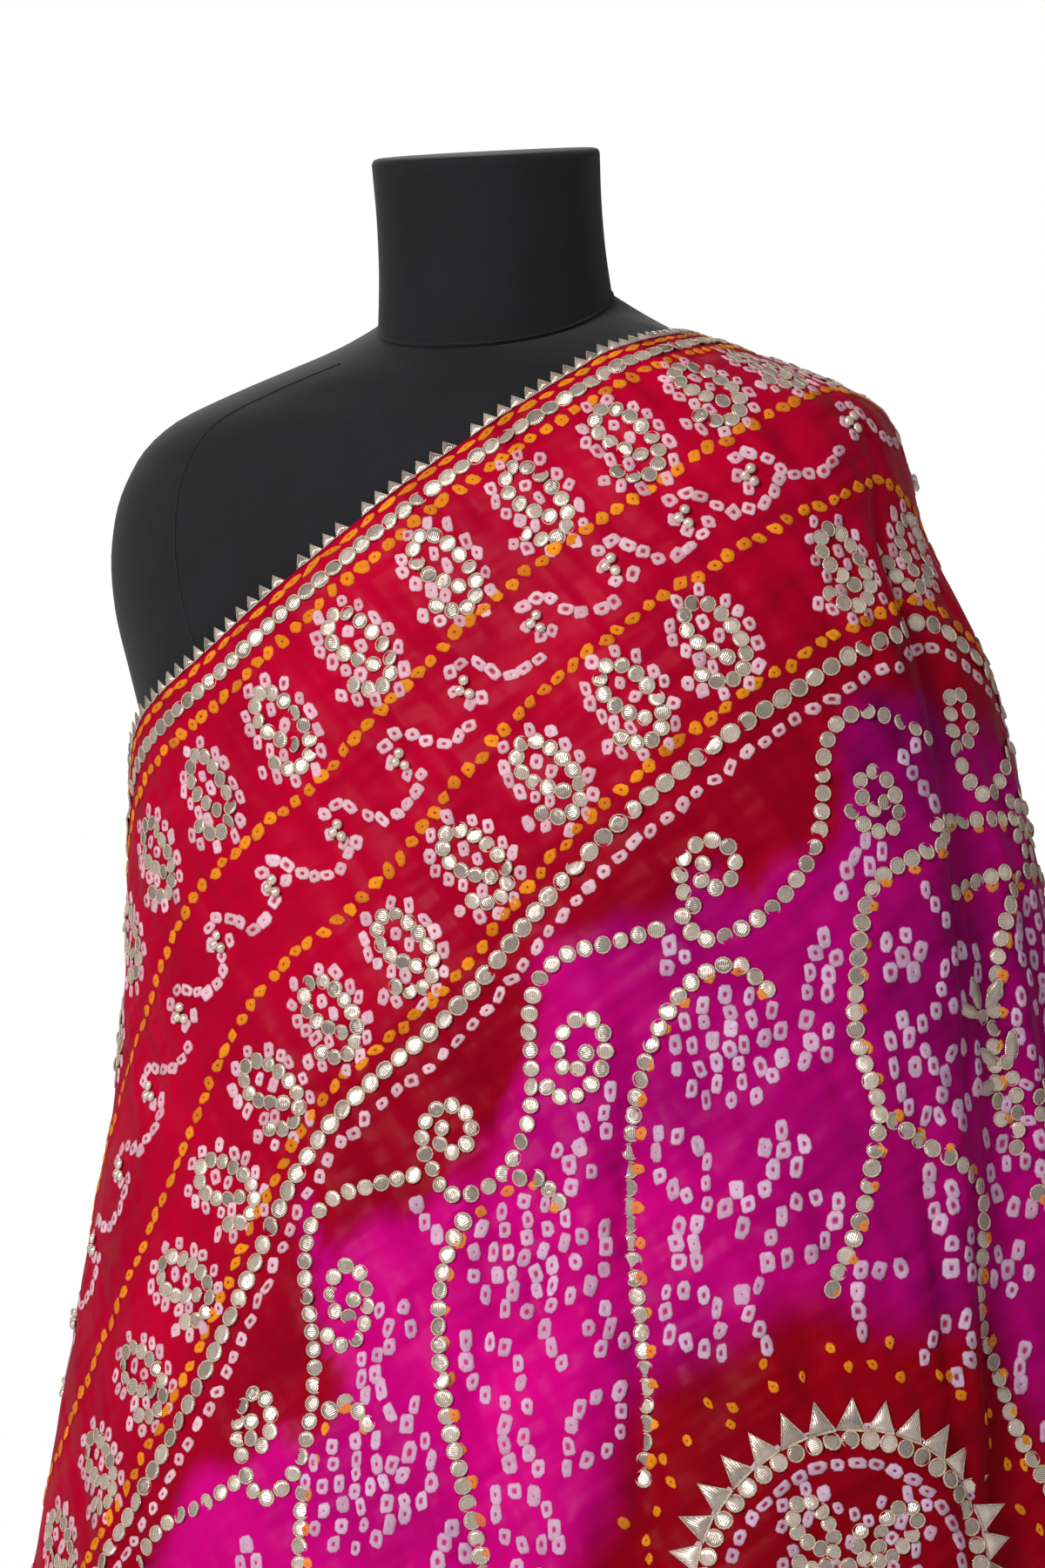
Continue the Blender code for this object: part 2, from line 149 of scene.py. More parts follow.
@dataclass(frozen=True)
class Drape:
    """The draped cloth's outer face, by the CAD solid's own tables, with finer creases added.

    Args:
        turn: how far the form is turned on its base, in radians.
        squareness: power of the squared ovals that the drape's levels are.
        centre: the levels' middle.
        hem: height of the hem, and how far it waves.
    """

    turn: float = math.radians(20.0)
    squareness: float = 2.25
    centre: tuple[float, float] = (0.004, 0.004)
    start_angle: float = -132.0
    end_angle: float = 226.0
    hem: tuple[float, float] = (0.014, 0.004)

    # height, reach towards -X and +X, depth to the chest and to the back
    levels: tuple = (
        (0.800, -0.074, 0.050, 0.060, 0.066), (0.784, -0.084, 0.068, 0.069, 0.074),
        (0.774, -0.102, 0.094, 0.077, 0.082), (0.763, -0.128, 0.122, 0.084, 0.090),
        (0.751, -0.155, 0.152, 0.091, 0.097), (0.739, -0.178, 0.174, 0.099, 0.104),
        (0.726, -0.193, 0.184, 0.106, 0.110), (0.704, -0.206, 0.191, 0.117, 0.118),
        (0.672, -0.213, 0.198, 0.129, 0.125), (0.640, -0.211, 0.213, 0.137, 0.128),
        (0.607, -0.204, 0.227, 0.141, 0.130), (0.574, -0.199, 0.236, 0.142, 0.132),
        (0.500, -0.199, 0.252, 0.143, 0.138), (0.416, -0.202, 0.266, 0.147, 0.148),
        (0.305, -0.220, 0.281, 0.160, 0.163), (0.150, -0.246, 0.300, 0.180, 0.183),
        (0.000, -0.271, 0.318, 0.199, 0.203),
    )

    # angle round the form, height
    edge: tuple = (
        (-132.0, 0.560), (-100.0, 0.650), (-75.0, 0.706), (-50.0, 0.744), (-25.0, 0.767),
        (0.0, 0.7745), (20.0, 0.773), (35.0, 0.770), (50.0, 0.7655), (65.0, 0.7565),
        (80.0, 0.7355), (95.0, 0.698), (110.0, 0.652), (122.0, 0.6195), (137.0, 0.5925),
        (146.0, 0.579), (160.0, 0.550), (175.0, 0.512), (190.0, 0.462), (205.0, 0.405),
        (226.0, 0.318),
    )

    # angle at the top and at the hem, height where it starts, depth there and at the hem, half width
    folds: tuple = (
        (15.0, 29.0, 0.665, -0.007, -0.015, 6.0), (-4.0, 6.0, 0.690, 0.003, 0.006, 9.0),
        (66.0, 69.0, 0.480, 0.000, -0.012, 6.0), (56.0, 58.0, 0.420, 0.000, 0.005, 6.0),
        (79.0, 83.0, 0.500, 0.000, -0.011, 5.0), (88.0, 90.0, 0.440, 0.000, 0.006, 4.5),
        (96.0, 94.0, 0.400, 0.000, -0.009, 4.0), (116.0, 113.0, 0.330, 0.000, 0.006, 8.0),
        (142.0, 138.0, 0.330, 0.000, -0.008, 8.0), (184.0, 182.0, 0.420, 0.000, 0.009, 11.0),
        (206.0, 204.0, 0.360, 0.000, -0.009, 9.0), (-32.0, -30.0, 0.640, -0.003, -0.016, 9.0),
        (-56.0, -54.0, 0.600, 0.000, 0.010, 10.0), (-78.0, -76.0, 0.560, 0.000, -0.015, 9.0),
        (-100.0, -99.0, 0.520, 0.000, 0.009, 10.0), (-120.0, -118.0, 0.480, 0.000, -0.008, 7.0),
    )

    # soft creases: angle and height at one end and at the other, depth, half width in metres
    creases: tuple = (
        (15.0, 0.700, 21.0, 0.560, -0.0035, 0.006), (24.0, 0.640, 31.0, 0.600, 0.0022, 0.008),
        (21.0, 0.560, 28.0, 0.380, -0.0030, 0.005), (28.0, 0.380, 27.0, 0.200, -0.0030, 0.006),
        (38.0, 0.610, 62.0, 0.520, -0.0014, 0.008), (50.0, 0.590, 84.0, 0.470, -0.0012, 0.009),
        (60.0, 0.560, 96.0, 0.400, 0.0012, 0.010), (30.0, 0.650, 52.0, 0.630, -0.0012, 0.006),
        (120.0, 0.600, 140.0, 0.520, -0.0012, 0.008), (130.0, 0.560, 148.0, 0.470, 0.0012, 0.008),
        (132.0, 0.470, 150.0, 0.400, -0.0014, 0.008), (124.0, 0.380, 140.0, 0.270, -0.0016, 0.008),
        (67.0, 0.440, 66.0, 0.140, -0.0070, 0.006), (72.0, 0.400, 73.0, 0.130, 0.0034, 0.006),
        (76.0, 0.420, 77.0, 0.200, -0.0026, 0.004), (80.0, 0.430, 83.0, 0.240, -0.0030, 0.005),
        (89.0, 0.380, 90.0, 0.120, -0.0050, 0.006), (93.0, 0.330, 95.0, 0.130, 0.0026, 0.006),
        (60.0, 0.430, 59.0, 0.260, -0.0032, 0.006), (57.0, 0.340, 47.0, 0.235, -0.0026, 0.004),
        (50.0, 0.360, 41.0, 0.250, -0.0022, 0.004), (63.0, 0.300, 57.0, 0.200, -0.0022, 0.004),
        (36.0, 0.400, 33.0, 0.160, -0.0046, 0.006), (102.0, 0.300, 103.0, 0.120, -0.0030, 0.006),
        (40.0, 0.460, 42.0, 0.330, 0.0020, 0.010), (52.0, 0.330, 50.0, 0.240, -0.0018, 0.008),
        (12.0, 0.520, 14.0, 0.300, 0.0024, 0.008), (6.0, 0.600, 8.0, 0.380, -0.0020, 0.008),
        (100.0, 0.650, 122.0, 0.590, -0.0009, 0.007), (85.0, 0.690, 108.0, 0.600, 0.0008, 0.008),
    )

    @property
    def span_axis(self) -> Array:
        """Direction along the form's shoulders, on the flat."""
        return np.array((math.cos(self.turn), -math.sin(self.turn)))

    @property
    def chest_axis(self) -> Array:
        """Direction that the chest faces, on the flat."""
        return np.array((-math.sin(self.turn), -math.cos(self.turn)))

    def column(self, index: int, z: Array) -> Array:
        """A column of the table of levels, read at a height."""
        table = np.array(self.levels)[::-1]
        return through(table[:, 0], table[:, index], z)

    def edge_height(self, degrees: Array) -> Array:
        """Height of the bordered edge at an angle round the form."""
        table = np.array(self.edge)
        return through(table[:, 0], table[:, 1], degrees)

    def hem_height(self, degrees: Array) -> Array:
        """Height of the hem at an angle round the form."""
        angle = np.radians(degrees)
        return self.hem[0] + self.hem[1] * (np.sin(3.0 * angle + 0.6) + 0.6 * np.sin(7.0 * angle + 2.0))

    def fold_offset(self, degrees: Array, z: Array) -> Array:
        """How far the main folds push the cloth outwards."""
        offset = np.zeros(np.broadcast(degrees, z).shape)
        for top_angle, hem_angle, start, top_depth, hem_depth, width in self.folds:
            down = (start - z) / (start - self.hem[0])
            middle = top_angle + (hem_angle - top_angle) * np.clip(down, 0.0, 1.0)
            depth = top_depth + (hem_depth - top_depth) * np.clip(down, 0.0, 1.0) ** 0.8
            onset = smooth_step(down / 0.18 + 0.5)
            offset = offset + depth * onset * np.exp(-(((degrees - middle) / width) ** 2))
        return offset

    def crease_offset(self, degrees: Array, z: Array) -> Array:
        """How far the soft creases and the silk's own slack push the cloth outwards."""
        girth = 0.0038
        across, up = degrees * girth, z
        offset = np.zeros(np.broadcast(degrees, z).shape)
        for a0, z0, a1, z1, depth, width in self.creases:
            start, span = np.array((a0 * girth, z0)), np.array(((a1 - a0) * girth, z1 - z0))
            long = float(np.linalg.norm(span))
            share = ((across - start[0]) * span[0] + (up - start[1]) * span[1]) / long**2
            side = ((across - start[0]) * span[1] - (up - start[1]) * span[0]) / long
            ends = np.exp(-((np.maximum(np.abs(share - 0.5) - 0.32, 0.0) / 0.16) ** 2))
            offset = offset + depth * ends * np.exp(-((side / width) ** 2))
        low = smooth_step((self.edge_height(degrees) - z) / 0.12)
        slack = (0.50 * np.sin(across * 115.0 + up * 62.0 + 1.3) * np.sin(up * 33.0 - across * 21.0)
                 + 0.35 * np.sin(across * 63.0 - up * 88.0 + 0.4) * np.sin(up * 21.0 + across * 47.0 + 2.0)
                 + 0.25 * np.sin(across * 171.0 - up * 140.0 + 2.4) * np.sin(up * 57.0 + 1.0))
        return offset + slack * MM * low

    def point(self, degrees: Array, z: Array, fine: bool = True) -> Array:
        """The cloth's outer face at an angle round the form and a height.

        Args:
            degrees: angle round the form.
            z: height.
            fine: with the soft creases too.

        Returns:
            The point, with a last axis of x, y and z.
        """
        angle = np.radians(degrees)
        left, right, chest, back = (self.column(k, z) for k in (1, 2, 3, 4))
        cos, sin = math.cos(self.turn), math.sin(self.turn)
        half_left = np.sqrt((self.centre[0] - left) ** 2 - (chest * sin) ** 2) / cos
        half_right = np.sqrt((right - self.centre[0]) ** 2 - (back * sin) ** 2) / cos
        along, ahead = squared_round(angle, half_left, half_right, chest, back, self.squareness)
        reach = np.hypot(along, ahead)
        push = self.fold_offset(degrees, z)
        if fine:
            push = push + self.crease_offset(degrees, z)
        stretch = (reach + push) / reach
        along, ahead = along * stretch, ahead * stretch
        x = self.centre[0] + along * self.span_axis[0] + ahead * self.chest_axis[0]
        y = self.centre[1] + along * self.span_axis[1] + ahead * self.chest_axis[1]
        return np.stack([x, y, z * np.ones_like(x)], axis=-1)


def squared_round(angle: Array, half_left: Array, half_right: Array, chest: Array, back: Array,
                  power: float) -> tuple[Array, Array]:
    """A point of a squared oval.

    Args:
        angle: angle round it, in radians.
        half_left: half width on the bare arm's side.
        half_right: half width on the covered shoulder's side.
        chest: depth to the chest.
        back: depth to the back.
        power: 2 for a plain oval, more for a squarer one.

    Returns:
        The point's places along the span and towards the chest.
    """
    cos, sin = np.cos(angle), np.sin(angle)
    half = half_right + (half_left - half_right) * 0.5 * (1.0 - cos * (1.5 - 0.5 * cos * cos))
    depth = back + (chest - back) * 0.5 * (1.0 + sin * (1.5 - 0.5 * sin * sin))
    size = (np.abs(cos) ** power + np.abs(sin) ** power) ** (-1.0 / power)
    return half * size * cos, depth * size * sin


# ---------------------------------------------------------------- frames on the cloth

@dataclass
class Frames:
    """Places on the cloth, each with its own directions.

    Args:
        at: the places.
        along: direction of rising u.
        down: direction of rising v.
        out: direction off the cloth.
    """

    at: Array
    along: Array
    down: Array
    out: Array

    def turned(self, radians: Array) -> "Frames":
        """The same places, with along and down turned in the cloth."""
        cos, sin = np.cos(radians)[:, None], np.sin(radians)[:, None]
        along, down = self.along * cos + self.down * sin, self.down * cos - self.along * sin
        return Frames(self.at, along, down, self.out)

    def leaning(self, along: Array, down: Array) -> "Frames":
        """The same places, with their outward direction leaning by small slopes."""
        out = unit(self.out + self.along * along[:, None] + self.down * down[:, None])
        first = unit(self.along - out * (self.along * out).sum(1, keepdims=True))
        return Frames(self.at, first, np.cross(out, first), out)

    def carry(self, local: Array) -> Array:
        """Local points (n, k, 3) or (k, 3), as along, down and out, carried to the cloth."""
        local = np.broadcast_to(local, (len(self.at),) + local.shape[-2:])
        return (self.at[:, None] + local[..., 0:1] * self.along[:, None]
                + local[..., 1:2] * self.down[:, None] + local[..., 2:3] * self.out[:, None])


class ClothSurface:
    """The draped cloth as a fine grid, and the flat cloth that it unrolls to."""

    columns: int = 264
    rows: int = 116
    coarse: int = 2
    flatten_passes: int = 1400
    align_angles: tuple[float, ...] = (136.7, 121.6, 102.6, 92.0, 80.2)

    def __init__(self, drape: Drape) -> None:
        """Builds the grid and flattens it."""
        self.drape = drape
        self.angles = np.linspace(drape.start_angle, drape.end_angle, self.columns + 1)
        self.heights = self._level_heights()
        self.points = drape.point(self.angles[:, None], self.heights)
        self.normals = unit(np.cross(np.gradient(self.points, axis=0), np.gradient(self.points, axis=1)))
        self.flat = self._flatten()
        self.tree = self._flat_tree()

    def _level_heights(self) -> Array:
        """Heights of each column's rows, at even distances down the cloth."""
        heights = np.zeros((self.columns + 1, self.rows + 1))
        share = np.linspace(0.0, 1.0, self.rows + 1)
        for i, degrees in enumerate(self.angles):
            z = np.linspace(self.drape.edge_height(degrees), self.drape.hem_height(degrees), 240)
            line = self.drape.point(degrees, z, fine=False)
            run = np.concatenate([[0.0], np.cumsum(np.linalg.norm(np.diff(line, axis=0), axis=1))])
            heights[i] = np.interp(share * run[-1], run, z)
        return heights

    def _flatten(self) -> Array:
        """Relaxes a net of springs, as long as the cloth's own threads, on a flat plane.

        Returns:
            The flat place (u, v) of each grid point.
        """
        step = self.coarse
        solid = self.points[::step, ::step]
        n, m = solid.shape[:2]
        middle = solid[:, int(m * 0.55)]
        run = np.concatenate([[0.0], np.cumsum(np.linalg.norm(np.diff(middle, axis=0), axis=1))])
        flat = np.stack([np.repeat(run[:, None], m, 1), self.heights[::step, ::step]], -1).reshape(-1, 2)
        index = np.arange(n * m).reshape(n, m)
        ends = []
        for di, dj in ((1, 0), (0, 1), (1, 1), (1, -1), (2, 0), (0, 2), (3, 0), (0, 3)):
            a = index[:n - di, max(0, -dj):m - max(0, dj)]
            b = index[di:, max(0, dj):m + min(0, dj)]
            ends.append(np.stack([a.ravel(), b.ravel()]))
        here, there = np.concatenate(ends, axis=1)
        cloud = solid.reshape(-1, 3)
        rest = np.linalg.norm(cloud[here] - cloud[there], axis=1)
        share = 0.8 / np.bincount(np.concatenate([here, there]), minlength=n * m)[:, None]
        drift = np.zeros_like(flat)
        for _ in range(self.flatten_passes):
            gap = flat[there] - flat[here]
            length = np.linalg.norm(gap, axis=1)
            pull = ((length - rest) / length)[:, None] * gap
            force = np.stack([np.bincount(here, pull[:, k], n * m) - np.bincount(there, pull[:, k], n * m)
                              for k in (0, 1)], axis=1)
            drift = 0.95 * drift + force * share
            flat = flat + drift
        error = np.abs(np.linalg.norm(flat[there] - flat[here], axis=1) / rest - 1.0)
        log.info("flattened cloth: mean strain %.4f, nineteen in twenty under %.4f",
                 error.mean(), np.percentile(error, 95))
        return self._aligned(flat.reshape(n, m, 2))

    def _aligned(self, flat: Array) -> Array:
        """Turns the flat net so that the bordered edge lies along u, and fills in the fine grid."""
        edge = flat[:, 0]
        angles = self.angles[::self.coarse]
        chosen = np.stack([np.interp(self.align_angles, angles, edge[:, k]) for k in (0, 1)], axis=1)
        middle = chosen.mean(axis=0)
        along = np.linalg.svd(chosen - middle)[2][0]
        along = along if along[0] > 0 else -along
        across = np.array((along[1], -along[0]))
        placed = np.stack([(flat - middle) @ along, (flat - middle) @ across], axis=-1)
        share_i = np.arange(self.columns + 1) / self.coarse
        share_j = np.arange(self.rows + 1) / self.coarse
        i = np.minimum(share_i.astype(int), placed.shape[0] - 2)
        j = np.minimum(share_j.astype(int), placed.shape[1] - 2)
        s, t = (share_i - i)[:, None, None], (share_j - j)[None, :, None]
        corner = placed[i][:, j] * (1 - t) + placed[i][:, j + 1] * t
        other = placed[i + 1][:, j] * (1 - t) + placed[i + 1][:, j + 1] * t
        return corner * (1 - s) + other * s

    def _flat_tree(self) -> BVHTree:
        """A search tree of the flat grid's cells."""
        places = [(u, v, 0.0) for u, v in self.flat.reshape(-1, 2)]
        width = self.rows + 1
        cells = [(i * width + j, (i + 1) * width + j, (i + 1) * width + j + 1, i * width + j + 1)
                 for i in range(self.columns) for j in range(self.rows)]
        return BVHTree.FromPolygons(places, cells)

    def locate(self, places: Array) -> tuple[Frames, Array]:
        """Carries flat places to the draped cloth.

        Args:
            places: flat places, (n, 2).

        Returns:
            The frames there, and which of the places lie on the cloth.
        """
        cell = np.zeros(len(places), int)
        inside = np.zeros(len(places), bool)
        for k, (u, v) in enumerate(places):
            _, _, face, distance = self.tree.find_nearest(Vector((u, v, 0.0)))
            cell[k], inside[k] = face, distance < 2e-4
        i, j = cell // self.rows, cell % self.rows
        q00, q10 = self.flat[i, j], self.flat[i + 1, j]
        q01, q11 = self.flat[i, j + 1], self.flat[i + 1, j + 1]
        s = np.full(len(places), 0.5)
        t = np.full(len(places), 0.5)
        for _ in range(4):
            here = (q00 * ((1 - s) * (1 - t))[:, None] + q10 * (s * (1 - t))[:, None]
                    + q01 * ((1 - s) * t)[:, None] + q11 * (s * t)[:, None])
            ds = (q10 - q00) * (1 - t)[:, None] + (q11 - q01) * t[:, None]
            dt = (q01 - q00) * (1 - s)[:, None] + (q11 - q10) * s[:, None]
            miss = places - here
            area = ds[:, 0] * dt[:, 1] - ds[:, 1] * dt[:, 0]
            s = np.clip(s + (miss[:, 0] * dt[:, 1] - miss[:, 1] * dt[:, 0]) / area, -0.2, 1.2)
            t = np.clip(t + (ds[:, 0] * miss[:, 1] - ds[:, 1] * miss[:, 0]) / area, -0.2, 1.2)
        w = [((1 - s) * (1 - t))[:, None], (s * (1 - t))[:, None], ((1 - s) * t)[:, None], (s * t)[:, None]]
        corners = [(i, j), (i + 1, j), (i, j + 1), (i + 1, j + 1)]
        at = sum(k * self.points[c] for k, c in zip(w, corners))
        out = unit(sum(k * self.normals[c] for k, c in zip(w, corners)))
        p00, p10, p01, p11 = (self.points[c] for c in corners)
        ps = (p10 - p00) * (1 - t)[:, None] + (p11 - p01) * t[:, None]
        pt = (p01 - p00) * (1 - s)[:, None] + (p11 - p10) * s[:, None]
        along = (ps * dt[:, 1:2] - pt * ds[:, 1:2]) / area[:, None]
        along = unit(along - out * (along * out).sum(1, keepdims=True))
        return Frames(at, along, np.cross(out, along), out), inside

    def flat_at(self, degrees: float, z: float) -> Array:
        """The flat place of the cloth at an angle round the form and a height."""
        i = float(np.interp(degrees, self.angles, np.arange(self.columns + 1)))
        a = min(int(i), self.columns - 1)
        low = [np.interp(-z, -self.heights[k], self.flat[k, :, axis]) for k in (a, a + 1) for axis in (0, 1)]
        return np.array(low[:2]) * (1 - (i - a)) + np.array(low[2:]) * (i - a)

    @property
    def area(self) -> float:
        """The cloth's own area."""
        du = np.diff(self.points, axis=0)[:, :-1]
        dv = np.diff(self.points, axis=1)[:-1]
        return float(np.linalg.norm(np.cross(du, dv), axis=-1).sum())


class Border:
    """The bordered edge as a rail, and the rows that run beside it.

    Args:
        step: distance between the rail's points.
        full_drift: distance from the edge where a row sags in full.
        beyond: how far the rail runs straight on past the cloth's two ends.
        window: how many of the rail's points its direction is evened over.
    """

    step: float = 0.002
    full_drift: float = 0.14
    beyond: float = 0.26
    window: int = 301

    # how far the rows sag from the edge's own line: u, distance
    sag: tuple = ((-0.60, 0.0), (-0.25, 0.012), (-0.20, 0.003), (-0.10, -0.003), (0.0, 0.004), (0.08, 0.026),
                  (0.13, 0.037), (0.20, 0.062), (0.25, 0.087), (0.30, 0.107), (0.36, 0.125), (0.42, 0.140),
                  (0.60, 0.150))

    def __init__(self, surface: ClothSurface) -> None:
        """Lays the rail along the flat cloth's bordered edge, and straight on past both its ends."""
        self.surface = surface
        edge = surface.flat[:, 0]
        past = self.beyond * unit(np.stack([edge[0] - edge[4], edge[-1] - edge[-5]]))
        edge = np.vstack([edge[:1] + past[:1], edge, edge[-1:] + past[1:]])
        run = np.concatenate([[0.0], np.cumsum(np.linalg.norm(np.diff(edge, axis=0), axis=1))])
        stations = np.arange(0.0, run[-1], self.step)
        self.along = stations - float(np.interp(0.0, edge[:, 0], run))
        self.rail = np.stack([np.interp(stations, run, edge[:, k]) for k in (0, 1)], axis=1)
        tangent = unit(np.gradient(self.rail, axis=0))
        window = np.hanning(self.window)
        window /= window.sum()
        padded = np.pad(tangent, ((self.window // 2, self.window // 2), (0, 0)), mode="edge")
        smooth = unit(np.stack([np.convolve(padded[:, k], window, mode="valid") for k in (0, 1)], axis=1))
        self.inward = np.stack([-smooth[:, 1], smooth[:, 0]], axis=1)

    def drift(self, u: Array) -> Array:
        """How far the rows sag at a place along the edge."""
        table = np.array(self.sag)
        return through(table[:, 0], table[:, 1], u)

    def row(self, distance: float) -> Array:
        """The flat path of the row at a distance from the edge."""
        sag = self.drift(self.along) * min(1.0, distance / self.full_drift)
        return self.rail + self.inward * (distance + sag)[:, None]

    def flat(self, places: Array) -> Array:
        """Carries places given beside the edge, as run along it and distance from it, to the flat cloth."""
        u, distance = places[:, 0], places[:, 1]
        rail = np.stack([np.interp(u, self.along, self.rail[:, k]) for k in (0, 1)], axis=1)
        inward = np.stack([np.interp(u, self.along, self.inward[:, k]) for k in (0, 1)], axis=1)
        sag = self.drift(u) * np.minimum(1.0, distance / self.full_drift)
        return rail + unit(inward) * (distance + sag)[:, None]

    def run_at(self, places: Array) -> Array:
        """Run along the edge of the edge's nearest point to each flat place."""
        coarse, along = self.rail[::4], self.along[::4]
        parts = [along[np.linalg.norm(places[k:k + 4000, None] - coarse[None], axis=-1).argmin(axis=1)]
                 for k in range(0, len(places), 4000)]
        return np.concatenate(parts)

    def distance(self, places: Array) -> Array:
        """Distance of flat places from the edge, with the rows' sag taken out."""
        nearest = gap_to(places, self.rail[::4])
        sag = self.drift(self.run_at(places))
        return nearest - sag * np.clip(nearest / (self.full_drift + sag), 0.0, 1.0)


# ---------------------------------------------------------------- meshes

def mesh_of(name: str, verts: Array, faces: list[Array], material: bpy.types.Material,
            attributes: dict[str, Array] | None = None) -> bpy.types.Object:
    """Makes a smoothly shaded object from plain arrays.

    Args:
        name: the piece's name.
        verts: its points, (n, 3).
        faces: arrays of faces, each (k, 3) or (k, 4).
        material: its material.
        attributes: a number for each point, by attribute name, or a colour with four numbers.

    Returns:
        The object, linked to the scene.
    """
    mesh = bpy.data.meshes.new(name)
    mesh.vertices.add(len(verts))
    mesh.vertices.foreach_set("co", np.ascontiguousarray(verts, np.float32).ravel())
    loops = np.concatenate([f.ravel() for f in faces]).astype(np.int32)
    sizes = np.concatenate([np.full(len(f), f.shape[1], np.int32) for f in faces])
    mesh.loops.add(len(loops))
    mesh.loops.foreach_set("vertex_index", loops)
    mesh.polygons.add(len(sizes))
    mesh.polygons.foreach_set("loop_start", np.concatenate([[0], np.cumsum(sizes)[:-1]]).astype(np.int32))
    mesh.update(calc_edges=True)
    mesh.validate()
    for key, values in (attributes or {}).items():
        kind = "FLOAT_COLOR" if values.ndim == 2 else "FLOAT"
        layer = mesh.attributes.new(key, kind, "POINT")
        layer.data.foreach_set("color" if values.ndim == 2 else "value",
                               np.ascontiguousarray(values, np.float32).ravel())
    mesh.shade_smooth()
    thing = bpy.data.objects.new(name, mesh)
    mesh.materials.append(material)
    bpy.context.scene.collection.objects.link(thing)
    return thing


@dataclass
class Template:
    """A small piece in its own frame, to be repeated.

    Args:
        verts: its points, (k, 3), as along, down and out.
        faces: arrays of its faces.
    """

    verts: Array
    faces: list[Array]

    def joined(self, other: "Template") -> "Template":
        """This template and another, as one."""
        shifted = [f + len(self.verts) for f in other.faces]
        return Template(np.vstack([self.verts, other.verts]), self.faces + shifted)

    def repeated(self, count: int) -> list[Array]:
        """Its faces, for so many copies one after another."""
        shift = np.arange(count)[:, None, None] * len(self.verts)
        return [(f[None] + shift).reshape(-1, f.shape[1]) for f in self.faces]


def turned_template(rings: Array, around: int) -> Template:
    """A low turned shape, closed at its middle.

    Args:
        rings: radius and height of each ring, from the middle out; the first is the middle point.
        around: points round each ring.

    Returns:
        The template.
    """
    angle = np.linspace(0.0, 2.0 * math.pi, around, endpoint=False)
    verts = [np.array([[0.0, 0.0, rings[0][1]]])]
    for radius, height in rings[1:]:
        level = np.full(around, height)
        verts.append(np.stack([radius * np.cos(angle), radius * np.sin(angle), level], axis=1))
    here = np.arange(around)
    after = (here + 1) % around
    fan = np.stack([np.zeros(around, int), 1 + here, 1 + after], axis=1)
    quads = []
    for k in range(len(rings) - 2):
        base, outer = 1 + k * around, 1 + (k + 1) * around
        quads.append(np.stack([base + here, outer + here, outer + after, base + after], axis=1))
    return Template(np.vstack(verts), [fan] + quads)


def ring_template(radius: float, tube: float, around: int, sides: int, height: float) -> Template:
    """A thin ring of thread lying flat."""
    angle = np.linspace(0.0, 2.0 * math.pi, around, endpoint=False)
    side = np.linspace(0.0, 2.0 * math.pi, sides, endpoint=False)
    reach = radius + tube * np.cos(side)[None, :]
    verts = np.stack([reach * np.cos(angle)[:, None], reach * np.sin(angle)[:, None],
                      np.broadcast_to(height + tube * np.sin(side), (around, sides))], axis=-1).reshape(-1, 3)
    i, j = np.meshgrid(np.arange(around), np.arange(sides), indexing="ij")
    ni, nj = (i + 1) % around, (j + 1) % sides
    quads = np.stack([i * sides + j, ni * sides + j, ni * sides + nj, i * sides + nj], axis=-1).reshape(-1, 4)
    return Template(verts, [quads])


def tube_mesh(path: Array, radius: float, sides: int = 5) -> Template:
    """A thin tube along a path in space.

    Args:
        path: its middle line.
        radius: its radius.
        sides: sides round it.

    Returns:
        The tube, open at its ends.
    """
    run = unit(np.gradient(path, axis=0))
    slanting = np.array((0.31, 0.52, 0.79))
    first = unit(np.cross(run, slanting))
    second = np.cross(run, first)
    angle = np.linspace(0.0, 2.0 * math.pi, sides, endpoint=False)
    verts = (path[:, None] + radius * (np.cos(angle)[None, :, None] * first[:, None]
                                       + np.sin(angle)[None, :, None] * second[:, None])).reshape(-1, 3)
    i, j = np.meshgrid(np.arange(len(path) - 1), np.arange(sides), indexing="ij")
    nj = (j + 1) % sides
    here, after = i * sides, (i + 1) * sides
    quads = np.stack([here + j, after + j, after + nj, here + nj], axis=-1).reshape(-1, 4)
    return Template(verts, [quads])


# ---------------------------------------------------------------- marks on the flat cloth

class Marks:
    """Places marked on the flat cloth: u, v, turn in radians, half length, half width."""

    def __init__(self) -> None:
        """Starts with no marks."""
        self._rows: list[Array] = []

    def add(self, places: Array, turn: Array | float, long: Array | float, wide: Array | float) -> None:
        """Adds marks at flat places."""
        places = np.atleast_2d(places)
        rest = [np.broadcast_to(x, len(places)) for x in (turn, long, wide)]
        self._rows.append(np.column_stack([places] + rest))

    def keep(self, wanted: Array) -> None:
        """Keeps only the wanted marks."""
        self._rows = [self.table[wanted]]

    @property
    def table(self) -> Array:
        """All the marks, one on each row."""
        return np.vstack(self._rows) if self._rows else np.zeros((0, 5))

    @property
    def places(self) -> Array:
        """The marks' flat places."""
        return self.table[:, :2]


@dataclass(frozen=True)
class Spot:
    """A flat place with a direction.

    Args:
        at: the place.
        turn: angle of its first axis from +u, in degrees.
    """

    at: Array
    turn: float = 0.0

    def carry(self, local: Array) -> Array:
        """Local flat points, carried to this place."""
        return self.at + turned(np.asarray(local, float), self.turn)


def gap_to(places: Array, others: Array) -> Array:
    """Distance from each flat place to the nearest of the others."""
    parts = [np.linalg.norm(places[k:k + 1000, None] - others[None], axis=-1).min(axis=1)
             for k in range(0, len(places), 1000)]
    return np.concatenate(parts)


def spaced(places: Array, gap: float) -> Array:
    """Picks places in turn, and leaves out each that lies too near one already picked."""
    wanted = np.ones(len(places), bool)
    for k in range(len(places) - 1):
        if wanted[k]:
            wanted[k + 1:] &= np.linalg.norm(places[k + 1:] - places[k], axis=1) >= gap
    return wanted


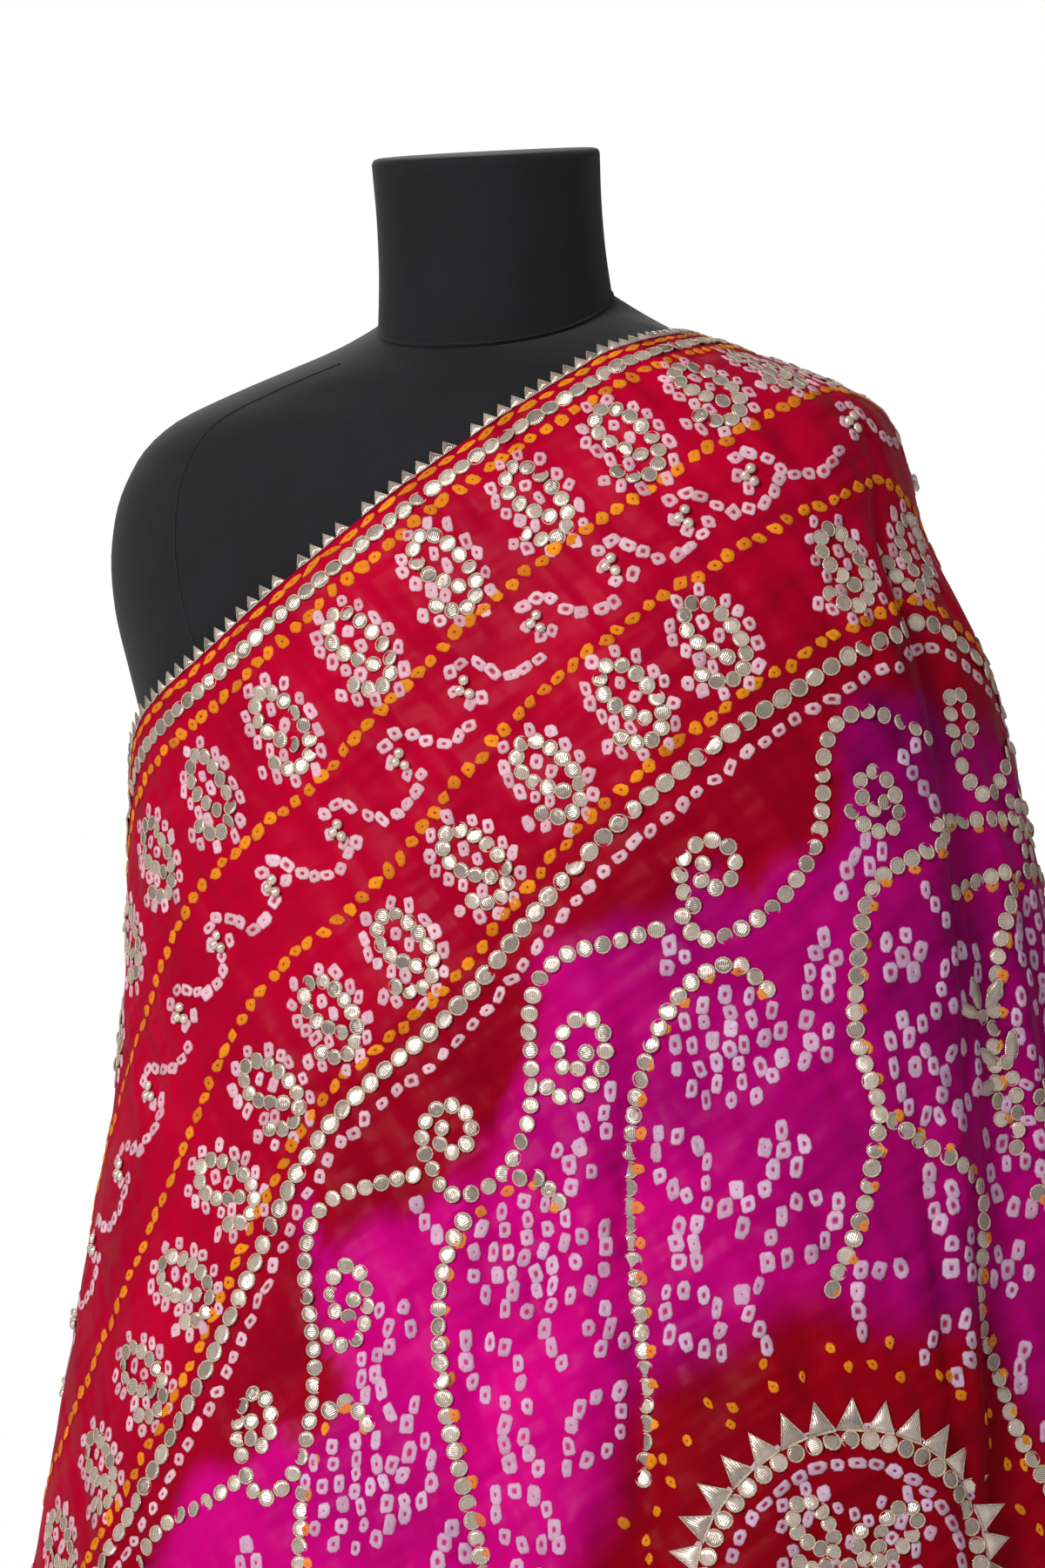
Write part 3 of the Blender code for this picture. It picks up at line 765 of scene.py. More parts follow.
def bearings(path: Array) -> Array:
    """Direction of a flat path at each of its points, in radians from +u."""
    run = np.gradient(path, axis=0)
    return np.arctan2(run[:, 1], run[:, 0])


# ---------------------------------------------------------------- colours and finishes

def dye(red: int, green: int, blue: int) -> Array:
    """A colour given on the usual 0 to 255 scale, as light."""
    c = np.array((red, green, blue)) / 255.0
    return np.where(c <= 0.04045, c / 12.92, ((c + 0.055) / 1.055) ** 2.4)


class Dye(Enum):
    """The dyes of the cloth, and what they leave on a tied dot; the darkest purple also serves as painted
    shade.
    """

    CRIMSON = (176, 0, 42)
    DEEP_RED = (132, 0, 18)
    MAGENTA = (200, 0, 120)
    # the darkest purple: the field's darker dye clouds, and also painted shade on the side of the field away
    # from the key light
    PLUM_AND_SHADE = (134, 0, 88)
    PALE_PINK = (232, 196, 208)
    LAVENDER = (213, 184, 208)
    MARIGOLD = (240, 150, 28)

    @property
    def light(self) -> Array:
        """The dye as light."""
        return dye(*self.value)


class Nodes:
    """A short way to build a material's nodes."""

    def __init__(self, name: str) -> None:
        """Starts a material with its shader."""
        self.material = bpy.data.materials.new(name)
        self.material.use_nodes = True
        self.tree = self.material.node_tree
        self.shader = self.tree.nodes["Principled BSDF"]

    def put(self, socket: bpy.types.NodeSocket, value: object) -> None:
        """Feeds a socket with another socket or with a constant."""
        if isinstance(value, bpy.types.NodeSocket):
            self.tree.links.new(value, socket)
        elif isinstance(value, (int, float)) or len(value) == len(socket.default_value):
            socket.default_value = value
        else:
            socket.default_value = (*value, 1.0)

    def node(self, kind: str, settings: dict | None = None, **inputs: object) -> bpy.types.Node:
        """Adds a node, with its settings and its inputs by name."""
        made = self.tree.nodes.new(kind)
        for key, value in (settings or {}).items():
            setattr(made, key, value)
        for key, value in inputs.items():
            self.put(made.inputs[key.replace("_", " ")], value)
        return made

    def attribute(self, name: str, output: str = "Fac") -> bpy.types.NodeSocket:
        """Reads an attribute of the mesh."""
        return self.node("ShaderNodeAttribute", {"attribute_name": name}).outputs[output]

    def sums(self, kind: str, a: object, b: object, clamp: bool = False) -> bpy.types.NodeSocket:
        """One sum of two numbers."""
        made = self.node("ShaderNodeMath", {"operation": kind, "use_clamp": clamp})
        self.put(made.inputs[0], a)
        self.put(made.inputs[1], b)
        return made.outputs[0]

    def between(self, value: object, low: float, high: float, to_low: float = 0.0,
                to_high: float = 1.0) -> bpy.types.NodeSocket:
        """A number brought from one range to another."""
        return self.node("ShaderNodeMapRange", Value=value, From_Min=low, From_Max=high, To_Min=to_low,
                         To_Max=to_high).outputs[0]

    def mix(self, share: object, a: object, b: object, blend: str = "MIX") -> bpy.types.NodeSocket:
        """Two colours mixed."""
        made = self.node("ShaderNodeMix", {"data_type": "RGBA", "blend_type": blend})
        for k, value in ((0, share), (6, a), (7, b)):
            self.put(made.inputs[k], value)
        return made.outputs[2]

    def grey(self, level: object) -> bpy.types.NodeSocket:
        """A grey of a given lightness."""
        return self.node("ShaderNodeCombineColor", Red=level, Green=level, Blue=level).outputs[0]

    def place(self, stretch: tuple[float, float, float] = (1.0, 1.0, 1.0),
              source: bpy.types.NodeSocket | None = None) -> bpy.types.NodeSocket:
        """A place on the object, or another source, stretched on each axis."""
        source = source or self.node("ShaderNodeTexCoord").outputs["Object"]
        return self.node("ShaderNodeMapping", Vector=source, Scale=stretch).outputs[0]

    def noise(self, where: bpy.types.NodeSocket, scale: float, detail: float = 2.0,
              roughness: float = 0.5) -> bpy.types.NodeSocket:
        """A soft noise, from 0 to 1."""
        return self.node("ShaderNodeTexNoise", Vector=where, Scale=scale, Detail=detail,
                         Roughness=roughness).outputs["Fac"]

    def finish(self, **inputs: object) -> bpy.types.Material:
        """Feeds the shader and hands over the material."""
        for key, value in inputs.items():
            self.put(self.shader.inputs[key.replace("_", " ")], value)
        return self.material


@dataclass(frozen=True)
class DyedSilk:
    """Soft satin silk, tied and dyed: each point carries its ground colour, painted shade included, its dye
    and its resist.
    """

    roughness: float = 0.42
    specular: float = 0.035
    # how quickly the slack of the silk changes across and along the flat cloth
    rumple: tuple[float, float, float] = (46.0, 9.0, 1.0)
    pleat: tuple[float, float, float] = (24.0, 60.0, 1.0)
    rumple_height: float = 0.017

    def build(self) -> bpy.types.Material:
        """Makes the material."""
        n = Nodes("dyed_silk")
        flat = n.attribute("flat", "Vector")
        ground = n.attribute("ground", "Color")
        cloudy = n.between(n.noise(n.place(), 16.0, 3.0), 0.30, 0.72, 0.80, 1.12)
        rumple = n.noise(n.place(self.rumple, flat), 1.0, 1.0)
        pleat = n.noise(n.place(self.pleat, flat), 1.0, 1.0)
        slub_u = n.noise(n.place((60.0, 900.0, 1.0), flat), 1.0, 2.0)
        slub_v = n.noise(n.place((900.0, 60.0, 1.0), flat), 1.0, 2.0)
        slub = n.between(n.sums("ADD", slub_u, slub_v), 0.7, 1.3, 0.98, 1.02)
        tone = n.sums("MULTIPLY", cloudy, slub)
        # the ground colour holds painted shade on one side of the field
        dyed = n.mix(1.0, ground, n.grey(tone), "MULTIPLY")
        resist = n.attribute("resist")
        patch = n.between(n.noise(n.place(), 420.0, 2.0), 0.25, 0.60, 0.72, 1.0)
        colour = n.mix(n.sums("MULTIPLY", resist, patch, True), dyed, n.attribute("dye", "Color"))
        weave = n.noise(n.place((1.0, 1.0, 1.0), flat), 1500.0, 1.0)
        height = n.sums("ADD", weave, slub)
        slack = n.sums("ADD", rumple, n.sums("MULTIPLY", pleat, 0.6))
        soft = n.node("ShaderNodeBump", Height=slack, Strength=0.55, Distance=self.rumple_height)
        bump = n.node("ShaderNodeBump", Height=height, Strength=0.15, Distance=0.0004, Normal=soft.outputs[0])
        rough = n.between(n.noise(n.place(), 70.0, 2.0), 0.3, 0.7,
                          self.roughness - 0.04, self.roughness + 0.06)
        return n.finish(Base_Color=colour, Roughness=n.sums("ADD", rough, n.sums("MULTIPLY", resist, 0.15)),
                        Specular_IOR_Level=self.specular, Normal=bump.outputs[0])


@dataclass(frozen=True)
class GotaRibbon:
    """Champagne foil ribbon in fine ribs, with a matt cord round it where the point says so, and painted
    light and shade that differ from one repeat to the next.
    """

    foil: tuple[int, int, int] = (236, 217, 202)
    cord: tuple[int, int, int] = (222, 198, 174)
    ribs: float = 6400.0

    def build(self) -> bpy.types.Material:
        """Makes the material."""
        n = Nodes("gota_ribbon")
        lay = n.attribute("lay", "Vector")
        cord = n.attribute("cord")
        # painted light and shade: each disc's foil is drawn lighter or darker at random, for how it catches
        # the lamps; on the beads the same number is their own silver tone
        shade = n.attribute("shade")
        rib = n.node("ShaderNodeTexWave", {"bands_direction": "X"}, Vector=n.place((1.0, 1.0, 1.0), lay),
                     Scale=self.ribs / 20.0, Distortion=1.2, Detail=1.0, Detail_Scale=2.0).outputs["Fac"]
        grime = n.between(n.noise(n.place(), 260.0, 2.0), 0.3, 0.7, 0.86, 1.05)
        lit = n.sums("MULTIPLY", n.sums("MULTIPLY", shade, grime), n.between(rib, 0.0, 1.0, 0.70, 1.12))
        foil = n.mix(1.0, tuple(dye(*self.foil)), n.grey(lit), "MULTIPLY")
        twist = n.noise(n.place(), 1700.0, 1.0)
        thread = n.mix(n.between(twist, 0.35, 0.65), tuple(dye(*self.cord)),
                       tuple(dye(*self.cord) * 0.5))
        bump = n.node("ShaderNodeBump", Height=n.mix(cord, rib, twist), Strength=0.35, Distance=0.0004)
        return n.finish(Base_Color=n.mix(cord, foil, thread), Metallic=n.between(cord, 0.0, 1.0, 0.60, 0.05),
                        Roughness=n.between(cord, 0.0, 1.0, 0.27, 0.72), Normal=bump.outputs[0])


@dataclass(frozen=True)
class FormCover:
    """Black jersey cover of the dress form."""

    black: tuple[int, int, int] = (21, 21, 24)
    roughness: float = 0.82
    specular: float = 0.22
    sheen: float = 0.10

    def build(self) -> bpy.types.Material:
        """Makes the material."""
        n = Nodes("form_cover")
        blotch = n.between(n.noise(n.place(), 22.0, 4.0), 0.3, 0.7, 0.82, 1.22)
        knit = n.noise(n.place((1.0, 1.0, 1.6)), 1100.0, 1.0)
        lit = n.sums("MULTIPLY", blotch, n.between(knit, 0.3, 0.7, 0.78, 1.22))
        colour = n.mix(1.0, tuple(dye(*self.black)), n.grey(lit), "MULTIPLY")
        bump = n.node("ShaderNodeBump", Height=knit, Strength=0.30, Distance=0.0005)
        return n.finish(Base_Color=colour, Roughness=self.roughness, Specular_IOR_Level=self.specular,
                        Sheen_Weight=self.sheen, Sheen_Roughness=0.5, Normal=bump.outputs[0])


@dataclass(frozen=True)
class PaleFloor:
    """A plain pale floor."""

    def build(self) -> bpy.types.Material:
        """Makes the material."""
        n = Nodes("pale_floor")
        lit = n.between(n.noise(n.place(), 3.0, 2.0), 0.3, 0.7, 0.80, 0.84)
        return n.finish(Base_Color=n.grey(lit), Roughness=0.8)


# ---------------------------------------------------------------- the pattern

# each creeper's first coil, as run along the edge, and how long its arch is drawn
CREEPERS = ((-0.740, 1.0), (-0.580, 1.0), (-0.420, 1.0), (-0.151, 1.15), (0.040, 0.86), (0.208, 1.0),
            (0.388, 1.0), (0.568, 1.0))
# each hooked stem's head, as run along the edge
CROOKS = (-0.690, -0.570, -0.450, -0.021, 0.106, 0.258, 0.400, 0.545)
# the bearing, on the flat cloth, of what hangs upright in front
FIELD_BEARING = math.radians(62.0)
# each spray's flat place and its stem's bearing in degrees
SPRAYS = ((-0.140, 0.370, 82.0), (-0.262, 0.420, 80.0), (-0.400, 0.500, 70.0), (-0.545, 0.560, 70.0))


@dataclass(frozen=True)
class Medallion:
    """The round medallion, from its own middle outwards."""

    angle: float = 48.5
    height: float = 0.174
    triangles: int = 33
    disc_radius: float = 0.0690
    triangle_foot: float = 0.0735
    triangle_half: float = 0.0070
    triangle_tip: float = 0.0155
    white_ring: float = 0.0580
    orange_ring: float = 0.103
    red: float = 0.116
    fade: float = 0.150


class DyeAndShadeGround:
    """The ground colour at any place of the flat cloth: its dyes, and painted shade on the side of the field
    away from the key light.
    """

    # run from a creeper's first coil, distance from the edge where the red stops
    bleed: tuple = ((-0.068, 0.232), (-0.045, 0.224), (-0.020, 0.214), (0.000, 0.212), (0.014, 0.222),
                    (0.028, 0.240), (0.045, 0.254), (0.066, 0.262), (0.090, 0.262), (0.105, 0.246),
                    (0.116, 0.234))
    softness: float = 0.010

    def __init__(self, border: Border, heart: Array, medallion: Medallion) -> None:
        """Keeps what the colour depends on."""
        self.border, self.heart, self.medallion = border, heart, medallion

    def colour(self, places: Array) -> Array:
        """The ground colour at flat places, painted shade included, as light with a fourth number of 1."""
        u, v = places[:, 0], places[:, 1]
        distance = self.border.distance(places)
        table = np.array(self.bleed)
        starts = np.array([start for start, _ in CREEPERS])
        run = self.border.run_at(places)
        along = run - starts[np.clip(np.searchsorted(starts - 0.068, run) - 1, 0, len(starts) - 1)]
        edge = np.interp(along, table[:, 0], table[:, 1])
        wander = 0.006 * np.sin(u * 71.0 + v * 40.0) + 0.004 * np.sin(u * 133.0 - v * 90.0 + 1.0)
        field_share = smooth_step((distance - edge - wander) / (2.0 * self.softness) + 0.5)[:, None]
        deep = smooth_step((distance - 0.120) / 0.10)[:, None] * 0.70
        red = Dye.CRIMSON.light * (1 - deep) + Dye.DEEP_RED.light * deep
        cloud = 0.5 + 0.5 * np.sin(u * 23.0 + 1.1 + 1.6 * np.sin(v * 19.0)) * np.sin(v * 27.0 - u * 11.0)
        # painted shade: across this stretch of u, the side away from the key light, the field darkens towards
        # purple; the clouds above are the dye's own
        side = smooth_step((0.08 - u) / 0.12) * smooth_step((u + 0.34) / 0.14)
        plum_and_shade = np.clip(0.50 * smooth_step(cloud * 1.6 - 0.7) + 0.62 * side, 0.0, 0.92)[:, None]
        pink_and_shade = Dye.MAGENTA.light * (1 - plum_and_shade) + Dye.PLUM_AND_SHADE.light * plum_and_shade
        reach = np.linalg.norm(places - self.heart, axis=1)
        bearing = np.arctan2(v - self.heart[1], u - self.heart[0])
        scallop = 0.006 * np.sin(bearing * 9.0) + 0.004 * np.sin(bearing * 4.0 + 1.0)
        m = self.medallion
        heart = 1.0 - smooth_step((reach - m.red - scallop) / (m.fade - m.red))
        colour = red * (1 - field_share) + pink_and_shade * field_share
        colour = colour * (1 - heart[:, None]) + Dye.DEEP_RED.light * 1.1 * heart[:, None]
        return np.column_stack([colour, np.ones(len(u))])


class Pattern:
    """Every tied dot and every sewn piece, marked on the flat cloth as a maker would mark it."""

    seed: int = 20417

    # an ordinary paisley: a leaf that stands with its round head to the edge, and its hooked tail
    paisley_line: tuple = ((-2.6, -13.7), (-8.6, -3.0), (-9.4, 8.0), (-2.4, 16.2), (5.6, 12.4), (8.4, 1.4),
                           (6.4, -15.0), (-2.7, -23.6), (-12.0, -21.6), (-17.2, -14.0))
    # the crook of dots above each trefoil of beads, and on to the next one
    wave_line: tuple = ((0.0, 9.2), (9.0, 8.2), (14.5, 0.0), (17.5, -8.3), (24.0, -12.6), (37.0, -14.6),
                        (50.0, -10.0))
    # a creeper's arch, from one coil to the next
    arch_line: tuple = ((-0.068, -0.012), (-0.045, -0.023), (-0.022, -0.036), (-0.002, -0.039),
                        (0.014, -0.030), (0.027, -0.012), (0.042, 0.004), (0.066, 0.015), (0.088, 0.015),
                        (0.103, 0.006), (0.104, -0.008))
    # a long stem with a hooked head
    crook_line: tuple = ((-0.025, 0.027), (-0.019, 0.008), (0.000, 0.000), (0.023, 0.004), (0.041, 0.014),
                         (0.057, 0.030), (0.078, 0.061), (0.094, 0.096), (0.110, 0.130), (0.130, 0.160))
    # stems beside the covered arm, on the flat cloth
    arm_stems: tuple = (
        ((-0.250, 0.318), (-0.217, 0.301), (-0.161, 0.277), (-0.160, 0.286), (-0.144, 0.284), (-0.118, 0.283),
         (-0.100, 0.296), (-0.083, 0.319), (-0.072, 0.337), (-0.066, 0.362), (-0.062, 0.378), (-0.044, 0.401),
         (-0.027, 0.419), (-0.003, 0.437)),
        ((-0.066, 0.384), (-0.074, 0.400), (-0.087, 0.421), (-0.094, 0.438), (-0.084, 0.460), (-0.066, 0.488),
         (-0.063, 0.522), (-0.060, 0.552), (-0.062, 0.590)),
        ((-0.240, 0.342), (-0.203, 0.322), (-0.180, 0.315), (-0.156, 0.311)),
    )
    # rows beside the edge: distance from it, pitch, and half length and half width of each mark
    picot_row: tuple = (0.0, 0.0086, 0.0041, 0.0066)
    edge_disc_row: tuple = (0.0115, 0.0092, 0.0049, 0.0041)
    chain_disc_row: tuple = (0.1905, 0.0096, 0.0050, 0.0046)
    streak_row: tuple = (0.0036, 0.0125, 0.0056, 0.0017)
    white_row: tuple = (0.2030, 0.0096, 0.0036, 0.0028)
    # the four rows of orange dots: their distances, and the pitch, half length and half width they share
    orange_distances: tuple = (0.0205, 0.0735, 0.1205, 0.1790)
    orange_dot: tuple = (0.0091, 0.0038, 0.0030)
    # rows of motifs: distance from the edge, pitch, and where one stands
    paisley_rows: tuple = ((0.047, 0.0572, 0.018), (0.150, 0.0520, -0.016))
    wave_row: tuple = (0.0935, 0.0465, -0.012)
    # distance from the edge of the creepers' coils and of the hooked stems' heads
    creeper_distance: float = 0.253
    crook_distance: float = 0.272
    # tied dots of a flower head, a leaf and a small group: half length, half width, jitter and sway
    flower_dot: tuple = (0.0042, 0.0031, 0.0006, 0.16)
    leaf_dot: tuple = (0.0045, 0.0031, 0.0006, 0.16)
    group_dot: tuple = (0.0045, 0.0033, 0.0006, 0.16)

    def __init__(self, surface: ClothSurface, border: Border, medallion: Medallion) -> None:
        """Marks the whole cloth."""
        self.surface, self.border, self.medallion = surface, border, medallion
        self.rng = np.random.default_rng(self.seed)
        self.heart = surface.flat_at(medallion.angle, medallion.height)
        self.white, self.orange = Marks(), Marks()
        self.edge_discs, self.chain_discs, self.paisley_discs = Marks(), Marks(), Marks()
        self.vine_discs, self.heart_discs, self.beads = Marks(), Marks(), Marks()
        self.leaves, self.triangles, self.picots = Marks(), Marks(), Marks()
        self._edge_rows()
        self._paisley_rows()
        self._wave_row()
        self._creepers()
        self._crooks()
        self._medallion()
        self._sprays()
        self._field()
        self._clear_up()

    def _dots(self, marks: Marks, places: Array, turn: Array | float, long: float, wide: float,
              jitter: float = 0.0006, sway: float = 0.35) -> None:
        """Adds tied dots, each a little out of line as hand-tied dots are."""
        n = len(places)
        if not n:
            return
        rng = self.rng
        marks.add(places + rng.normal(0.0, jitter, (n, 2)), turn + rng.normal(0.0, sway, n),
                  long * rng.uniform(0.86, 1.22, n), wide * rng.uniform(0.84, 1.18, n))

    def _row(self, distance: float, pitch: float) -> tuple[Array, Array]:
        """Even places along a row, and the row's bearing there."""
        path = evenly(self.border.row(distance), pitch)
        return path, bearings(path)

    def _spots(self, distance: float, pitch: float, start: float) -> list[Spot]:
        """Spots along a row whose first axis runs to the covered shoulder and whose second to the edge."""
        row = self.border.row(distance)
        along = self.border.along
        first = along[0] + (start - along[0]) % pitch
        at = np.arange(first, along[-1], pitch)
        turn = np.degrees(np.unwrap(bearings(row)))
        places = np.stack([np.interp(at, along, row[:, 0]), np.interp(at, along, row[:, 1])], axis=1)
        apart = spaced(places, 0.82 * pitch)
        return [Spot(place, float(np.interp(u, along, turn)) + 180.0)
                for place, u in zip(places[apart], at[apart])]

    def _edge_rows(self) -> None:
        """The rows that run all along the edge: picots, disc braids, orange and white lines of dots."""
        path, bearing = self._row(*self.picot_row[:2])
        own = gap_to(path, self.surface.flat[:, 0]) < 0.0030
        self.picots.add(path[own], bearing[own], *self.picot_row[2:])
        for marks, row in ((self.edge_discs, self.edge_disc_row), (self.chain_discs, self.chain_disc_row)):
            path, bearing = self._row(*row[:2])
            marks.add(path, bearing, *row[2:])
        path, bearing = self._row(*self.streak_row[:2])
        self._dots(self.orange, path, bearing, *self.streak_row[2:], 0.0004, 0.10)
        pitch, long, wide = self.orange_dot
        for distance in self.orange_distances:
            path, bearing = self._row(distance, pitch)
            self._dots(self.orange, path, bearing, long, wide)
        path, bearing = self._row(*self.white_row[:2])
        self._dots(self.white, path, bearing, *self.white_row[2:])

    def _paisley(self, spot: Spot, scale: float = 1.0, radius: float = 0.0042) -> None:
        """One paisley of gota discs on its tied dots."""
        line = spot.carry(rounded(np.array(self.paisley_line) * MM * scale))
        discs = evenly(line, 2.0 * radius * 0.88)
        discs = discs[spaced(discs, radius * 1.6)]
        self.paisley_discs.add(discs, self.rng.uniform(0, 6.28, len(discs)), radius, radius * 0.95)
        ring = np.linspace(0.0, 2.0 * math.pi, 15)[:-1]
        around = (discs[:, None] + 0.0080 * np.stack([np.cos(ring), np.sin(ring)], 1)[None]).reshape(-1, 2)
        middle = spot.carry(np.array(((-0.6, 5.4), (0.2, -3.4))) * MM * scale)
        around = np.vstack([middle, around])
        around = around[gap_to(around, discs) > 0.0060]
        around = around[spaced(around, 0.0072)]
        self._dots(self.white, around, FIELD_BEARING, 0.0035, 0.0028, 0.0004, 0.25)

    def _paisley_rows(self) -> None:
        """Two rows of paisleys along the border."""
        for row in self.paisley_rows:
            for spot in self._spots(*row):
                self._paisley(Spot(spot.carry(np.array((0.004, 0.003))), spot.turn))

    def _wave_row(self) -> None:
        """The wave of dots between the paisleys, with its trefoils of beads."""
        ends = np.array(((-4.6, 1.5), (-3.0, -6.5))) * MM
        trefoil = np.array(((-2.3, 0.4), (2.4, 2.0), (-0.4, -4.0))) * MM
        for spot in self._spots(*self.wave_row):
            dots = evenly(spot.carry(rounded(np.array(self.wave_line) * MM)), 0.0083)
            self._dots(self.white, dots, bearings(dots), 0.0037, 0.0030)
            self._dots(self.white, spot.carry(ends), 0.6, 0.0034, 0.0028)
            self.beads.add(spot.carry(trefoil), 0.0, 0.0027, 0.0027)

    def _vine(self, line: Array, radius: float, pitch: float) -> Array:
        """Gota discs sewn along a flat line."""
        discs = evenly(line, pitch)
        clear = gap_to(discs, np.vstack([self.vine_discs.places, self.chain_discs.places])) > radius * 1.55
        self.vine_discs.add(discs[clear], self.rng.uniform(0, 6.28, int(clear.sum())), radius, radius * 0.94)
        return discs

    def _creepers(self) -> None:
        """Arches with two coils each, all along the border's inner side."""
        for start, stretch in CREEPERS:
            middle = np.array((start, self.creeper_distance))
            arch = rounded(np.array(self.arch_line)) * (stretch, 1.0)
            outer = spiral(np.array((0.084 * stretch, -0.016)), 0.0180, 25.0, -1.25, 0.30)
            inner = spiral(np.zeros(2), 0.0205, 0.0, 1.35, 0.28)
            self._vine(self.border.flat(middle + arch), 0.0043, 0.0088)
            for coil in (outer, inner):
                self._vine(self.border.flat(middle + coil), 0.0042, 0.0084)

    def _crooks(self) -> None:
        """Long hooked stems that reach down into the field, with their flower heads and leaves of dots."""
        for start in CROOKS:
            middle = np.array((start, self.crook_distance))
            line = self.border.flat(middle + rounded(np.array(self.crook_line)))
            self._stem(line, (0.45, 0.60, 0.72, 0.86))
            self._flower(Spot(self.border.flat((middle + np.array((0.003, 0.037)))[None])[0]))
        for line, leaves in zip(self.arm_stems, ((0.72, 0.90), (0.30, 0.55, 0.85), ())):
            self._stem(rounded(np.array(line)), leaves)

    def _stem(self, line: Array, leaves: tuple[float, ...]) -> None:
        """A stem of small discs beside orange dots, with leaves of white dots at shares of its length."""
        discs = self._vine(line, 0.0045, 0.0085)
        bearing = bearings(discs)
        side = np.stack([-np.sin(bearing), np.cos(bearing)], axis=1)
        self._dots(self.orange, discs[::2] + side[::2] * 0.0036, bearing[::2], 0.0032, 0.0026)
        for k, share in enumerate(leaves):
            m, lean = int(share * (len(discs) - 1)), 1 - 2 * (k % 2)
            turn = math.degrees(bearing[m]) + lean * 38.0
            self._leaf(Spot(discs[m] + side[m] * lean * 0.013, turn), 0.043, 0.013)

    def _flower(self, spot: Spot) -> None:
        """A round flower head of tied dots in rings."""
        radius = 0.0245
        for count, share, phase in ((1, 0.0, 0.0), (5, 0.36, 0.3), (9, 0.70, 0.0), (14, 1.06, 0.2)):
            angle = phase + 2.0 * math.pi * np.arange(count) / count
            ring = spot.carry(np.stack([np.cos(angle), np.sin(angle)], axis=1) * radius * share)
            self._dots(self.white, ring, FIELD_BEARING, *self.flower_dot)

    def _leaf(self, spot: Spot, length: float, width: float) -> None:
        """A leaf outlined in tied dots."""
        share = np.linspace(0.0, 1.0, 30)
        swell = width * np.sin(math.pi * share) * (1.15 - 0.5 * share)
        for side, first in ((1.0, 0), (-1.0, 1)):
            dots = evenly(spot.carry(np.stack([length * share, side * swell], axis=1)), 0.0094)
            self._dots(self.white, dots[first:], FIELD_BEARING, *self.leaf_dot)

    def _medallion(self) -> None:
        """The round medallion: ribbon triangles, discs, rings of dots, paisleys and a rosette."""
        m = self.medallion
        heart = Spot(self.heart, 0.0)

        def ring(radius: float, count: int, phase: float = 0.0) -> tuple[Array, Array]:
            """Even places round the medallion's heart, and the angle of each."""
            angle = phase + 2.0 * math.pi * np.arange(count) / count
            return heart.carry(np.stack([np.cos(angle), np.sin(angle)], axis=1) * radius), angle

        places, angle = ring(m.triangle_foot, m.triangles)
        self.triangles.add(places, angle + math.pi / 2.0, m.triangle_half, m.triangle_tip)
        places, angle = ring(m.disc_radius, 48)
        self.heart_discs.add(places, angle, 0.0047, 0.0045)
        places, angle = ring(m.white_ring, 38)
        self._dots(self.white, places, angle + math.pi / 2.0, 0.0040, 0.0030, 0.0004, 0.15)
        places, angle = ring(m.disc_radius + 0.0058, 50, 0.06)
        self._dots(self.white, places, angle + math.pi / 2.0, 0.0030, 0.0018, 0.0004, 0.2)
        for reach, count in ((m.orange_ring, 40), (m.orange_ring + 0.0085, 22)):
            places, angle = ring(reach, count)
            self._dots(self.orange, places, math.pi / 2.0, 0.0031, 0.0022, 0.0024, 0.3)
        for k in range(5):
            turn = 72.0 * k - 90.0
            at = heart.carry(np.array((math.cos(math.radians(turn)), math.sin(math.radians(turn)))) * 0.0345)
            self._paisley(Spot(at, turn - 90.0), 0.80, 0.0040)
        places, angle = ring(0.0105, 6)
        self.heart_discs.add(np.vstack([places, self.heart]), 0.0, 0.0044, 0.0044)

    def _sprays(self) -> None:
        """Sprays of ribbon leaves on short disc stems, beside the covered arm and across the back."""
        line = rounded(np.array(((0.0, 0.0), (0.020, 0.004), (0.042, 0.003), (0.064, -0.006))))
        for u, v, turn in SPRAYS:
            spot = Spot(np.array((u, v)), turn)
            stem = evenly(spot.carry(line), 0.0086)
            self.vine_discs.add(stem, 0.0, 0.0042, 0.0040)
            for k, m in enumerate((0, 4)):
                for lean in (-52.0, 2.0, 56.0):
                    bearing = math.radians(turn + 180.0 + lean + 30.0 * k)
                    reach = 0.0125 if k == 0 else 0.0150
                    tip = stem[m] + np.array((math.cos(bearing), math.sin(bearing))) * reach
                    self.leaves.add(tip, bearing, 0.0088, 0.0036)
            knot = Spot(spot.carry(np.array((0.052, 0.020))), 0.0)
            angle = 2.0 * math.pi * np.arange(7) / 7
            cluster = knot.carry(np.stack([np.cos(angle), np.sin(angle)], axis=1) * 0.0095)
            self.vine_discs.add(np.vstack([cluster, knot.at]), 0.0, 0.0042, 0.0040)
            angle = 2.0 * math.pi * np.arange(12) / 12
            round_it = knot.carry(np.stack([np.cos(angle), np.sin(angle)], axis=1) * 0.0165)
            self._dots(self.white, round_it, angle, 0.0036, 0.0028)

